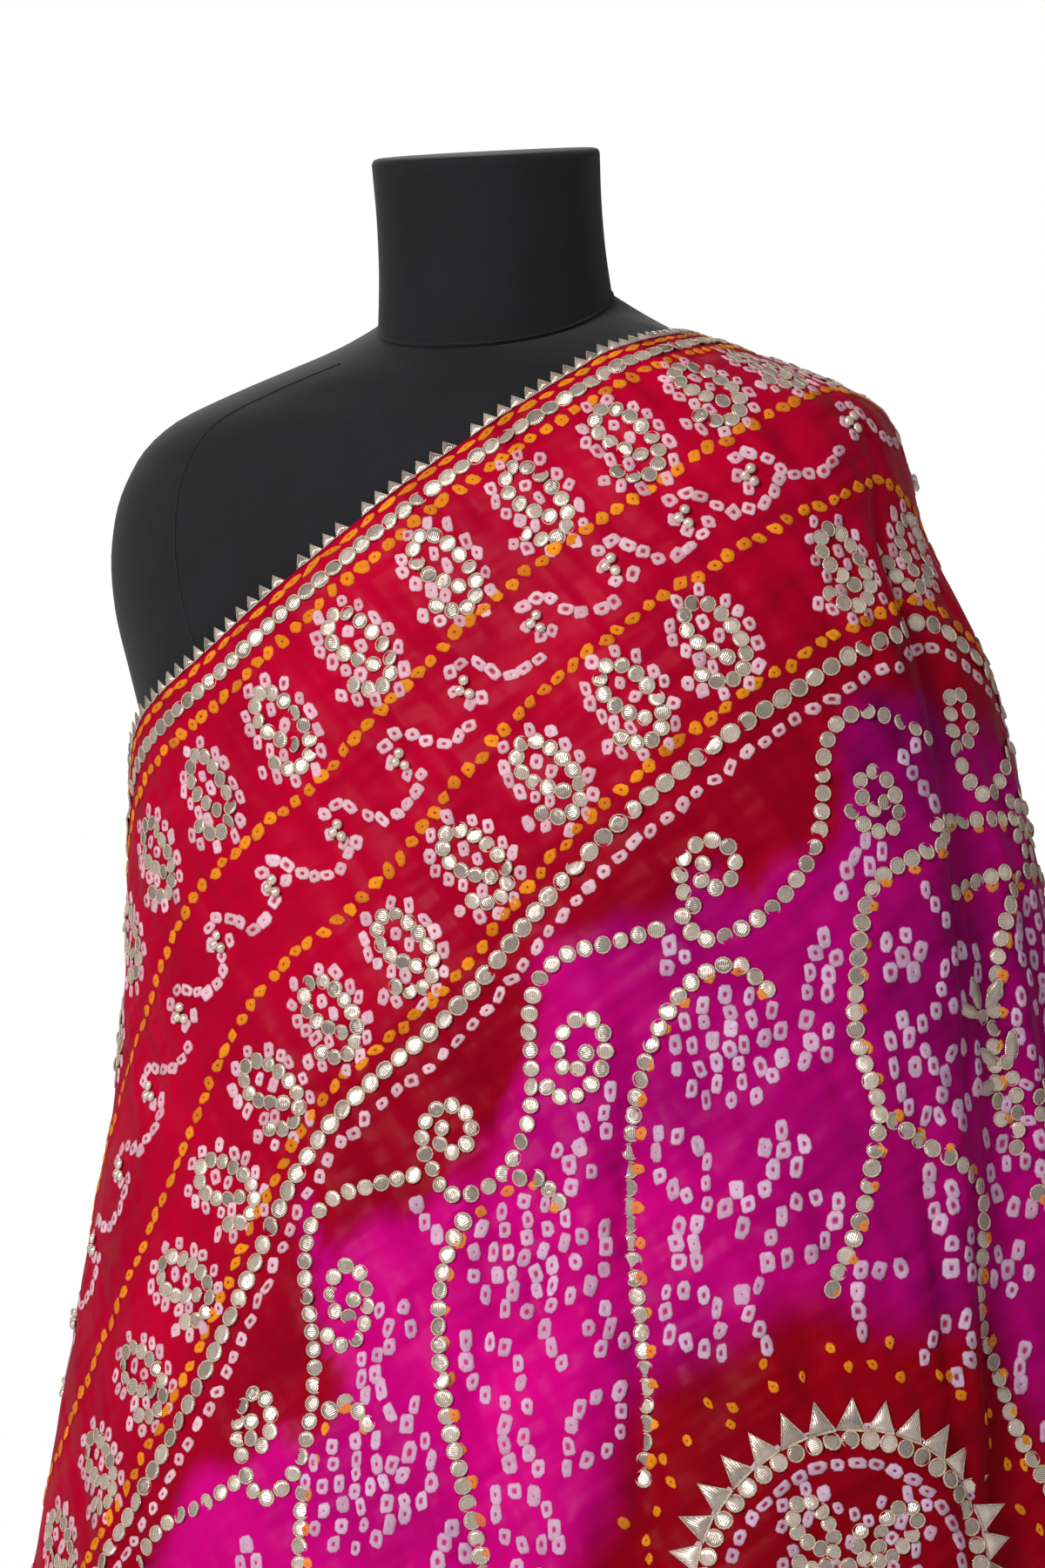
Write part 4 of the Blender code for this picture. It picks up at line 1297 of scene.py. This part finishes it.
    def _field(self) -> None:
        """Small groups of tied dots that fill what is left of the field."""
        rng = self.rng
        flat = self.surface.flat
        low, high = flat.reshape(-1, 2).min(axis=0), flat.reshape(-1, 2).max(axis=0)
        seeds = rng.uniform(low, high, (5200, 2))
        discs = np.vstack([m.places for m in (self.vine_discs, self.heart_discs, self.leaves)])
        clear = (self.border.distance(seeds) > 0.256) & (np.linalg.norm(seeds - self.heart, axis=1) > 0.128)
        clear &= (gap_to(seeds, discs) > 0.012) & (gap_to(seeds, self.white.places) > 0.013)
        seeds = seeds[clear]
        seeds = seeds[spaced(seeds, 0.0275)]
        groups = []
        for k, seed in enumerate(seeds):
            spot = Spot(seed, math.degrees(FIELD_BEARING) + rng.uniform(-40, 40))
            kind = k % 3
            if kind == 0:
                angle = 2.0 * math.pi * np.arange(5) / 5 + rng.uniform(0, 6)
                local = np.vstack([np.stack([np.cos(angle), np.sin(angle)], axis=1) * 0.0100, (0.0, 0.0)])
            elif kind == 1:
                t = np.linspace(-1.0, 1.0, 5)
                local = np.stack([t * 0.017, 0.004 * t * t], axis=1)
                local = np.vstack([local, local[1:4] + (0.0, 0.0094)])
            else:
                t = np.arange(4)
                local = np.vstack([np.stack([t * 0.0094 - 0.014, 0.0 * t], axis=1),
                                   np.stack([t[:2] * 0.0 - 0.014, (t[:2] + 1) * 0.0094], axis=1)])
            groups.append(spot.carry(local))
        dots = np.vstack(groups)
        dots = dots[(gap_to(dots, discs) > 0.0074) & (gap_to(dots, self.white.places) > 0.0080)]
        reach = np.linalg.norm(dots - self.heart, axis=1)
        dots = dots[(self.border.distance(dots) > 0.236) & (reach > 0.112)]
        dots = dots[spaced(dots, 0.0080)]
        self._dots(self.white, dots, FIELD_BEARING, *self.group_dot)

    def _clear_up(self) -> None:
        """Leaves out what would lie off the cloth, under the discs or in the medallion's way."""
        discs = np.vstack([self.vine_discs.places, self.heart_discs.places, self.chain_discs.places])
        reach = np.linalg.norm(self.white.places - self.heart, axis=1)
        border = self.border.distance(self.white.places) < 0.196
        self.white.keep(((gap_to(self.white.places, discs) > 0.0050) | border)
                        & ((reach < 0.081) | (reach > 0.110)))
        self.white.keep(spaced(self.white.places, 0.0052))
        reach = np.linalg.norm(self.vine_discs.places - self.heart, axis=1)
        self.vine_discs.keep((reach > 0.112) & spaced(self.vine_discs.places, 0.0058))
        reach = np.linalg.norm(self.orange.places - self.heart, axis=1)
        self.orange.keep((reach > 0.096) & spaced(self.orange.places, 0.0046))
        for marks in (self.white, self.orange, self.edge_discs, self.chain_discs, self.paisley_discs,
                      self.vine_discs, self.heart_discs, self.beads, self.leaves, self.triangles):
            _, inside = self.surface.locate(marks.places)
            marks.keep(inside)


# ---------------------------------------------------------------- pieces

@dataclass
class Piece:
    """What every piece says of itself.

    Args:
        thing: its object.
        slot: its material slot; not used.
        nodes: the CAD nodes that it stands for.
    """

    thing: bpy.types.Object
    slot: str
    nodes: tuple[str, ...] = ()

    def declare(self) -> bpy.types.Object:
        """Ties the piece to the frame."""
        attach(self.thing, "root")
        if self.nodes:
            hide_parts(*self.nodes)
        return self.thing


@dataclass
class SilkCloth:
    """The cloth itself, a thin sheet on the folds."""

    surface: ClothSurface
    ground: DyeAndShadeGround
    silk: bpy.types.Material
    thickness: float = 0.0006

    def build(self) -> bpy.types.Object:
        """Makes the cloth."""
        s = self.surface
        i, j = np.meshgrid(np.arange(s.columns), np.arange(s.rows), indexing="ij")
        width = s.rows + 1
        quads = np.stack([i * width + j, (i + 1) * width + j, (i + 1) * width + j + 1, i * width + j + 1], -1)
        flat = s.flat.reshape(-1, 2)
        attributes = {"ground": self.ground.colour(flat),
                      "flat": np.column_stack([flat, np.zeros(len(flat)), np.ones(len(flat))])}
        thing = mesh_of("silk_cloth", s.points.reshape(-1, 3), [quads.reshape(-1, 4)], self.silk, attributes)
        solid = thing.modifiers.new("thickness", "SOLIDIFY")
        solid.thickness, solid.offset = self.thickness, -1.0
        return Piece(thing, "dyed_silk", ("draped_cloth",)).declare()


@dataclass
class TiedDots:
    """Dots of cloth that were tied before dyeing: each a small pucker that kept its own colour.

    Args:
        surface: the cloth.
        ground: the ground colours.
        silk: the cloth's material.
        seed: seed of the random draws.
        most: the most dots in one piece.
        shares: size of a dot's four rings, as shares of it; the first two also go with its dyed point.
        lifts: how high the middle and each ring stand off the cloth, in millimetres.
        resists: how much of the middle and of each ring kept its own colour.
    """

    surface: ClothSurface
    ground: DyeAndShadeGround
    silk: bpy.types.Material
    seed: int = 77
    most: int = 2600
    shares: tuple[float, ...] = (0.24, 0.40, 0.86, 1.0)
    lifts: tuple[float, ...] = (0.40, 0.52, 0.76, 0.56, 0.13)
    resists: tuple[float, ...] = (0.02, 0.16, 0.97, 0.97, 0.0)

    def build(self, name: str, marks: Array, colours: Array, chamfer: tuple[float, float],
              hole: float) -> list:
        """Makes the dots, in as many pieces as they need.

        Args:
            name: name of the pieces, before their number.
            marks: table of marks.
            colours: colour that each dot kept, as light.
            chamfer: range of how much of each corner is cut away, from 0, square, to 1, a lozenge.
            hole: size of the dyed point in each dot's middle.

        Returns:
            The pieces.
        """
        rng = np.random.default_rng(self.seed)
        made = []
        parts = max(1, math.ceil(len(marks) / self.most))
        order = np.argsort(marks[:, 0])
        for number, chosen in enumerate(np.array_split(order, parts), 1):
            made.append(self._part(f"{name}_{number}", marks[chosen], colours[chosen], chamfer, hole, rng))
        return made

    def _part(self, name: str, marks: Array, colours: Array, chamfer: tuple[float, float], hole: float,
              rng: np.random.Generator) -> bpy.types.Object:
        """Makes one piece of dots."""
        n, k = len(marks), 8
        cut = 1.0 - rng.uniform(*chamfer, (n, 4, 1))
        one = np.ones((n, 4, 1))
        corner = np.stack([np.concatenate([one, cut], 2), np.concatenate([cut, one], 2)], axis=2)
        turn = np.array(((1, 1), (-1, 1), (-1, -1), (1, -1)))[None, :, None]
        flip = np.array((0, 1, 0, 1))[None, :, None, None]
        outline = np.where(flip == 1, corner[:, :, ::-1], corner) * turn
        outline = outline.reshape(n, k, 2) * rng.uniform(0.92, 1.08, (n, k, 1)) * marks[:, None, 3:5]
        outline[..., 0] += outline[..., 1] * rng.uniform(-0.13, 0.13, (n, 1))
        inner = hole * rng.uniform(0.6, 1.25, n) * np.where(rng.uniform(size=n) < 0.12, 0.3, 1.0)
        shares = np.tile(np.array(self.shares), (n, 1))
        shares[:, :2] *= inner[:, None]
        local = outline[:, None] * shares[..., None, None]
        local = np.concatenate([np.zeros((n, 1, 2)), local.reshape(n, 4 * k, 2)], axis=1)
        cos, sin = np.cos(marks[:, 2])[:, None], np.sin(marks[:, 2])[:, None]
        flat = np.stack([marks[:, 0:1] + local[..., 0] * cos - local[..., 1] * sin,
                         marks[:, 1:2] + local[..., 0] * sin + local[..., 1] * cos], axis=-1)
        flat = flat.reshape(-1, 2)
        frames, _ = self.surface.locate(flat)
        ring = np.repeat(np.arange(4), k) + 1
        which = np.concatenate([[0], ring])
        lift = np.array(self.lifts)[which][None] * rng.uniform(0.8, 1.25, (n, 1)) * MM
        verts = frames.at + frames.out * lift.reshape(-1, 1)
        strength = rng.uniform(0.80, 1.0, (n, 1))
        resist = np.array(self.resists)[which][None] * strength
        size = len(which)
        template = turned_template(np.zeros((5, 2)), k)
        attributes = {
            "ground": self.ground.colour(flat),
            "flat": np.column_stack([flat, np.zeros(len(flat)), np.ones(len(flat))]),
            "dye": np.column_stack([np.repeat(colours, size, axis=0), np.ones(n * size)]),
            "resist": resist.ravel(),
        }
        thing = mesh_of(name, verts, template.repeated(n), self.silk, attributes)
        return Piece(thing, "dyed_silk").declare()


@dataclass
class GotaWork:
    """Ribbon pieces sewn on the cloth: discs, leaves, triangles, picots and beads.

    Args:
        surface: the cloth.
        ribbon: the ribbon's material.
        seed: seed of the random draws.
        lean: spread of how far each repeat leans.
        crumple: spread of how uneven its ribbon is, as a share of its size.
    """

    surface: ClothSurface
    ribbon: bpy.types.Material
    seed: int = 501
    lean: float = 0.13
    crumple: float = 0.022

    @staticmethod
    def disc() -> tuple[Template, Array]:
        """A ribbon disc of radius 1 with its cord, and which points are cord."""
        plate = turned_template(np.array(((0, 0.150), (0.45, 0.165), (0.80, 0.150), (0.98, 0.02))), 12)
        cord = ring_template(0.91, 0.105, 12, 4, 0.150)
        return plate.joined(cord), np.repeat((0.0, 1.0), (len(plate.verts), len(cord.verts)))

    @staticmethod
    def bead() -> tuple[Template, Array]:
        """A low round bead of radius 1."""
        angle = np.radians((0.0, 24.0, 50.0, 76.0, 100.0))
        rings = np.stack([np.sin(angle), 0.55 + 0.72 * np.cos(angle)], axis=1)
        plate = turned_template(rings, 10)
        return plate, np.zeros(len(plate.verts))

    @staticmethod
    def outlined(outline: Array, ridge: Array, height: float, cord: float) -> tuple[Template, Array]:
        """A ribbon piece folded to a ridge, with a cord round it.

        Args:
            outline: its flat outline.
            ridge: the ridge's place below each point of the outline.
            height: how high the ridge stands.
            cord: the cord's radius.

        Returns:
            The template, and which points are cord.
        """
        n = len(outline)
        foot = np.column_stack([outline, np.full(n, 0.10 * height)])
        shelf = np.column_stack([outline * 0.80 + ridge * 0.20, np.full(n, 0.62 * height)])
        crest = np.column_stack([outline * 0.12 + ridge * 0.88, np.full(n, height)])
        here = np.arange(n)
        after = (here + 1) % n
        quads = [np.stack([a * n + here, a * n + after, (a + 1) * n + after, (a + 1) * n + here], axis=1)
                 for a in (0, 1)]
        lid = np.stack([2 * n + here, 2 * n + after, np.full(n, 3 * n)], axis=1)
        verts = np.vstack([foot, shelf, crest, [[*ridge.mean(axis=0), height]]])
        plate = Template(verts, quads + [lid])
        loop = np.column_stack([np.vstack([outline, outline[:1]]) * 0.97, np.full(n + 1, 0.6 * height)])
        edge = tube_mesh(loop, cord, 4)
        return plate.joined(edge), np.repeat((0.0, 1.0), (len(plate.verts), len(edge.verts)))

    def build(self, name: str, marks: Array, shape: tuple[Template, Array], nodes: tuple[str, ...] = (),
              lean: float | None = None, sizes: Array | None = None,
              shades: tuple[float, float] = (0.48, 1.12)) -> bpy.types.Object:
        """Makes one joined piece of many repeats.

        Args:
            name: the piece's name.
            marks: table of marks.
            shape: the template of size 1, and which of its points are cord.
            nodes: the CAD nodes that it stands for.
            lean: how far each repeat leans.
            sizes: scale of each repeat along, down and out; the marks' half length if None.
            shades: range of how light each repeat is: painted light and shade on the discs and other ribbon
                pieces, their own silver tone on the beads.

        Returns:
            The piece.
        """
        rng = np.random.default_rng(self.seed + len(marks))
        template, cord = shape
        n = len(marks)
        lean = self.lean if lean is None else lean
        sizes = marks[:, (3, 4, 4)] if sizes is None else sizes
        frames, _ = self.surface.locate(marks[:, :2])
        frames = frames.turned(marks[:, 2]).leaning(rng.normal(0, lean, n), rng.normal(0, lean, n))
        local = template.verts[None] * sizes[:, None] * rng.uniform(0.95, 1.04, (n, 1, 1))
        local[..., 2] += rng.normal(0.0, self.crumple, local.shape[:2]) * sizes[:, 2:] * (1.0 - cord)
        verts = frames.carry(local).reshape(-1, 3)
        k = len(template.verts)
        lay = np.concatenate([local, np.ones((n, k, 1))], axis=-1).reshape(-1, 4)
        # each repeat's random brightness: painted light and shade on discs and ribbon pieces, own tone on
        # beads
        attributes = {"lay": lay, "cord": np.tile(cord, n), "shade": np.repeat(rng.uniform(*shades, n), k)}
        thing = mesh_of(name, verts, template.repeated(n), self.ribbon, attributes)
        return Piece(thing, "gota_ribbon", nodes).declare()


@dataclass
class DressForm:
    """The covered dress form: torso, neck and their seams."""

    cover: bpy.types.Material
    drape: Drape
    around: int = 120
    steps: int = 90
    centre_y: float = 0.006
    neck_centre: float = -0.0136
    neck_lift: float = 0.0004

    # height, reach towards -X and +X, depth to the chest and to the back, fall to the chest, rise to the back
    torso: tuple = (
        (0.7870, -0.0716, 0.0444, 0.0610, 0.0630, 0.35, 0.35),
        (0.7820, -0.0800, 0.0620, 0.0655, 0.0690, 0.30, 0.18),
        (0.7730, -0.0975, 0.0880, 0.0725, 0.0770, 0.22, 0.00),
        (0.7620, -0.1235, 0.1165, 0.0795, 0.0850, 0.15, 0.00),
        (0.7500, -0.1505, 0.1450, 0.0860, 0.0905, 0.09, 0.00),
        (0.7380, -0.1735, 0.1660, 0.0935, 0.0975, 0.04, 0.00),
        (0.7250, -0.1885, 0.1760, 0.1000, 0.1035, 0.00, 0.00),
        (0.7040, -0.2015, 0.1830, 0.1105, 0.1115, 0.00, 0.00),
        (0.6720, -0.2085, 0.1875, 0.1215, 0.1190, 0.00, 0.00),
        (0.6400, -0.2065, 0.1870, 0.1280, 0.1220, 0.00, 0.00),
        (0.6070, -0.1985, 0.1840, 0.1300, 0.1220, 0.00, 0.00),
        (0.5740, -0.1900, 0.1770, 0.1270, 0.1180, 0.00, 0.00),
        (0.5000, -0.1720, 0.1600, 0.1170, 0.1070, 0.00, 0.00),
        (0.4300, -0.1560, 0.1450, 0.1050, 0.1000, 0.00, 0.00),
        (0.3400, -0.1660, 0.1550, 0.1100, 0.1120, 0.00, 0.00),
        (0.2200, -0.1850, 0.1730, 0.1200, 0.1290, 0.00, 0.00),
        (0.1000, -0.1900, 0.1780, 0.1220, 0.1320, 0.00, 0.00),
        (0.0060, -0.1880, 0.1760, 0.1210, 0.1300, 0.00, 0.00),
        (0.0000, -0.1840, 0.1720, 0.1170, 0.1260, 0.00, 0.00),
    )
    # height, half width, depth to the chest and to the back, shift to the chest, fall to the chest
    neck: tuple = (
        (0.7870, 0.0580, 0.0610, 0.0630, 0.0000, 0.35), (0.8150, 0.0560, 0.0580, 0.0600, 0.0045, 0.27),
        (0.8400, 0.0555, 0.0570, 0.0585, 0.0090, 0.20), (0.8665, 0.0562, 0.0572, 0.0580, 0.0140, 0.15),
    )

    def _ring(self, centre_x: float, left: float, right: float, chest: float, back: float,
              angle: Array) -> tuple[Array, Array]:
        """A level of the form: how far along the shoulders and how far ahead each point lies."""
        d = self.drape
        cos, sin = math.cos(d.turn), math.sin(d.turn)
        half_left = math.sqrt((centre_x - left) ** 2 - (chest * sin) ** 2) / cos
        half_right = math.sqrt((right - centre_x) ** 2 - (back * sin) ** 2) / cos
        return squared_round(angle, half_left, half_right, chest, back, d.squareness)

    def torso_point(self, angle: Array, z: float) -> Array:
        """Points of the torso's face at a level."""
        table = np.array(self.torso)[::-1]
        left, right, chest, back, fall, rise = (float(through(table[:, 0], table[:, k], np.array(z)))
                                                for k in range(1, 7))
        middle = 0.5 * (left + right)
        along, ahead = self._ring(middle, left, right, chest, back, angle)
        d = self.drape
        x = middle + along * d.span_axis[0] + ahead * d.chest_axis[0]
        y = self.centre_y + along * d.span_axis[1] + ahead * d.chest_axis[1]
        return np.stack([x, y, z - np.where(ahead > 0.0, fall, rise) * ahead], axis=-1)

    def neck_point(self, angle: Array, z: float, swell: float = 0.0) -> Array:
        """Points of the neck's face at a level."""
        table = np.array(self.neck)
        half, chest, back, shift, fall = (float(through(table[:, 0], table[:, k], np.array(z)))
                                          for k in range(1, 6))
        along, ahead = self._ring(0.0, -half, half, chest, back, angle)
        grow = 1.0 + swell / half
        along, ahead = along * grow, ahead * grow + shift
        d = self.drape
        x = self.neck_centre + along * d.span_axis[0] + ahead * d.chest_axis[0]
        y = self.centre_y + along * d.span_axis[1] + ahead * d.chest_axis[1]
        return np.stack([x, y, z + self.neck_lift - fall * ahead], axis=-1)

    def _loft(self, name: str, rings: list[Array], nodes: tuple[str, ...]) -> bpy.types.Object:
        """A closed body through rings, from the top down."""
        n, k = len(rings), self.around
        verts = np.vstack(rings + [rings[0].mean(axis=0)[None], rings[-1].mean(axis=0)[None]])
        i, j = np.meshgrid(np.arange(n - 1), np.arange(k), indexing="ij")
        nj = (j + 1) % k
        quads = np.stack([i * k + j, (i + 1) * k + j, (i + 1) * k + nj, i * k + nj], axis=-1).reshape(-1, 4)
        here = np.arange(k)
        after = (here + 1) % k
        lid = np.stack([np.full(k, n * k), here, after], axis=1)
        base = np.stack([np.full(k, n * k + 1), (n - 1) * k + after, (n - 1) * k + here], axis=1)
        thing = mesh_of(name, verts, [quads, lid, base], self.cover)
        thing.data.set_sharp_from_angle(angle=math.radians(50.0))
        return Piece(thing, "form_cover", nodes).declare()

    def build(self) -> list:
        """Makes the torso, the neck and the seams."""
        angle = np.linspace(0.0, 2.0 * math.pi, self.around, endpoint=False)
        top, foot = self.torso[0][0], 0.0
        share = np.linspace(0.0, 1.0, self.steps)
        levels = top - (top - foot) * (0.45 * share + 0.55 * share**2)
        torso = self._loft("form_torso_cover", [self.torso_point(angle, z) for z in levels], ("form_torso",))
        tall = self.neck[-1][0]
        rings = [self.neck_point(angle, z) for z in np.linspace(tall, self.neck[0][0], 26)]
        crown = rings[0]
        middle = crown.mean(axis=0)
        lids = []
        for inset, rise in ((0.060, 0.0030), (0.022, 0.0024), (0.006, 0.0012)):
            ring = middle + (crown - middle) * (1.0 - inset)
            ring[:, 2] += rise
            lids.append(ring)
        neck = self._loft("form_neck_cover", lids + rings, ("form_neck",))
        return [torso, neck, self._seams()]

    def _seams(self) -> bpy.types.Object:
        """Raised seams: round the neck's foot, over the bare shoulder and down the panels."""
        loop = np.linspace(0.0, 2.0 * math.pi, 160)
        collar = self.neck_point(loop, self.neck[0][0] + 0.0012, 0.0002)
        stitches = [tube_mesh(collar, 0.00075)]
        for top_angle, foot_angle, top, foot in ((136.0, 126.0, 0.772, 0.600), (222.0, 214.0, 0.772, 0.300),
                                                 (-52.0, -56.0, 0.765, 0.640)):
            heights = np.linspace(top, foot, 60)
            angles = np.radians(np.linspace(top_angle, foot_angle, 60))
            line = np.array([self.torso_point(np.array([a]), z)[0] for a, z in zip(angles, heights)])
            stitches.append(tube_mesh(line, 0.00045))
        heights = np.linspace(0.7835, 0.600, 70)
        shoulder = np.array([self.torso_point(np.array([math.radians(181.0)]), z)[0] for z in heights])
        stitches.append(tube_mesh(shoulder, 0.00045))
        whole = stitches[0]
        for other in stitches[1:]:
            whole = whole.joined(other)
        thing = mesh_of("form_seams", whole.verts, whole.faces, self.cover)
        return Piece(thing, "form_cover").declare()


@dataclass
class Studio:
    """The floor, the lights, the plain backdrop and the camera."""

    floor_radius: float = 1.0
    floor_drop: float = 0.0006
    backdrop: float = 1.0
    ambient: float = 0.30
    camera_at: tuple[float, float, float] = (0.0, -2.6, 0.55)
    lens: float = 118.2
    # each light's name, place, aim, size and power
    lights: tuple = (
        ("key", (-1.5, -2.2, 1.7), (0.0, 0.0, 0.42), 0.9, 68.0),
        ("fill", (1.9, -1.9, 1.0), (0.0, 0.0, 0.40), 1.6, 4.0),
        ("rim", (-0.6, 2.2, 1.9), (0.0, 0.0, 0.50), 1.2, 20.0),
    )

    def build(self) -> None:
        """Sets the studio up."""
        self._floor()
        self._world()
        for light in self.lights:
            self._light(*light)
        self._camera()
        bpy.context.scene.view_settings.view_transform = "Standard"

    def _floor(self) -> None:
        """A round floor under the form."""
        steps = 96
        angle = np.linspace(0.0, 2.0 * math.pi, steps, endpoint=False)
        rim = self.floor_radius * np.stack([np.cos(angle), np.sin(angle)], axis=1)
        verts = np.column_stack([np.vstack([np.zeros((1, 2)), rim]), np.full(steps + 1, -self.floor_drop)])
        here = np.arange(steps)
        fan = np.stack([np.zeros(steps, int), 1 + here, 1 + (here + 1) % steps], axis=1)
        mesh_of("studio_floor", verts, [fan], PaleFloor().build())

    def _world(self) -> None:
        """White where the camera sees it, and softer as light."""
        world = bpy.data.worlds.new("studio")
        bpy.context.scene.world = world
        world.use_nodes = True
        tree = world.node_tree
        back = tree.nodes["Background"]
        path = tree.nodes.new("ShaderNodeLightPath")
        level = tree.nodes.new("ShaderNodeMapRange")
        tree.links.new(path.outputs["Is Camera Ray"], level.inputs["Value"])
        level.inputs["To Min"].default_value = self.ambient
        level.inputs["To Max"].default_value = self.backdrop
        tree.links.new(level.outputs[0], back.inputs["Strength"])
        back.inputs["Color"].default_value = (1.0, 1.0, 1.0, 1.0)

    @staticmethod
    def _light(name: str, at: tuple, to: tuple, size: float, power: float) -> None:
        """A soft square light."""
        lamp = bpy.data.lights.new(name, "AREA")
        lamp.shape, lamp.size, lamp.energy = "SQUARE", size, power
        thing = bpy.data.objects.new(name, lamp)
        thing.location = at
        thing.rotation_euler = (Vector(to) - Vector(at)).to_track_quat("-Z", "Y").to_euler()
        bpy.context.scene.collection.objects.link(thing)

    def _camera(self) -> None:
        """A long lens, level, in front of the form."""
        data = bpy.data.cameras.new("camera")
        data.lens = self.lens
        thing = bpy.data.objects.new("camera", data)
        thing.location = self.camera_at
        thing.rotation_euler = (math.radians(90.0), 0.0, 0.0)
        bpy.context.scene.collection.objects.link(thing)
        bpy.context.scene.camera = thing


class BandhaniCloth:
    """The whole object: the form, the cloth and all that is dyed and sewn on it."""

    dot_seed: int = 9

    def __init__(self) -> None:
        """Lays the cloth out flat and marks its pattern."""
        self.drape = Drape()
        self.surface = ClothSurface(self.drape)
        self.border = Border(self.surface)
        self.medallion = Medallion()
        self.pattern = Pattern(self.surface, self.border, self.medallion)
        self.ground = DyeAndShadeGround(self.border, self.pattern.heart, self.medallion)

    def build(self) -> None:
        """Makes every piece."""
        silk, ribbon, cover = DyedSilk().build(), GotaRibbon().build(), FormCover().build()
        form = DressForm(cover, self.drape).build()
        cloth = SilkCloth(self.surface, self.ground, silk).build()
        extras = self._dots(silk) + self._gota(ribbon)
        flat = self.surface.flat.reshape(-1, 2)
        size = flat.max(axis=0) - flat.min(axis=0)
        log.info("flat cloth %.3f x %.3f m, area %.3f", size[0], size[1], self.surface.area)

    def _dots(self, silk: bpy.types.Material) -> list:
        """Makes the tied dots."""
        dots = TiedDots(self.surface, self.ground, silk)
        white, orange = self.pattern.white.table, self.pattern.orange.table
        rng = np.random.default_rng(self.dot_seed)
        field_share = smooth_step((self.border.distance(white[:, :2]) - 0.21) / 0.03)[:, None]
        pale = Dye.PALE_PINK.light * (1 - field_share) + Dye.LAVENDER.light * field_share
        pale = pale * rng.uniform(0.80, 1.05, (len(white), 1))
        warm = Dye.MARIGOLD.light * rng.uniform(0.75, 1.05, (len(orange), 1))
        log.info("%d white and %d orange dots", len(white), len(orange))
        return (dots.build("tied_dots_white", white, pale, (0.25, 0.62), 1.0)
                + dots.build("tied_dots_orange", orange, warm, (0.40, 0.95), 0.55))

    def _gota(self, ribbon: bpy.types.Material) -> list:
        """Makes the sewn ribbon work."""
        p, work = self.pattern, GotaWork(self.surface, ribbon)
        disc = work.disc()
        made = [
            work.build("gota_edge_discs", p.edge_discs.table, disc, ("upper_disc_braid",)),
            work.build("gota_chain_discs", p.chain_discs.table, disc, ("lower_disc_braid",)),
            work.build("gota_medallion_discs", p.heart_discs.table, disc, ("medallion_disc_ring",)),
            work.build("gota_paisley_discs", p.paisley_discs.table, disc),
            work.build("gota_vine_discs", p.vine_discs.table, disc),
            work.build("silver_beads", p.beads.table, work.bead(), shades=(1.0, 1.25)),
        ]
        corner = np.array(((-1.0, 0.0), (0.0, 0.0), (1.0, 0.0), (0.55, -0.42), (0.0, -1.0), (-0.55, -0.42)))
        triangle = work.outlined(corner, np.tile((0.0, -0.34), (6, 1)), 1.0, 0.05)
        angle = np.linspace(0.0, 2.0 * math.pi, 10, endpoint=False)
        vesica = np.stack([np.cos(angle), np.sin(angle) * np.abs(np.sin(angle)) ** 0.25], axis=1)
        ridge = np.stack([np.cos(angle) * 0.7, np.zeros(10)], axis=1)
        leaf = work.outlined(vesica, ridge, 1.0, 0.06)
        for name, marks, shape, height, nodes, lean in (
                ("gota_picots", p.picots.table, triangle, 0.0011, ("picot_edging",), 0.05),
                ("gota_triangles", p.triangles.table, triangle, 0.0016, (), 0.03),
                ("gota_leaves", p.leaves.table, leaf, 0.0014, (), 0.10)):
            sizes = np.column_stack([marks[:, 3], marks[:, 4], np.full(len(marks), height)])
            made.append(work.build(name, marks, shape, nodes, lean, sizes))
        return made


def main() -> None:
    """Builds the scene."""
    for name in ("Cube", "Light", "Camera"):
        left_over = bpy.data.objects.get(name)
        if left_over is not None:
            bpy.data.objects.remove(left_over, do_unlink=True)
    BandhaniCloth().build()
    Studio().build()


if __name__ == "__main__":
    main()
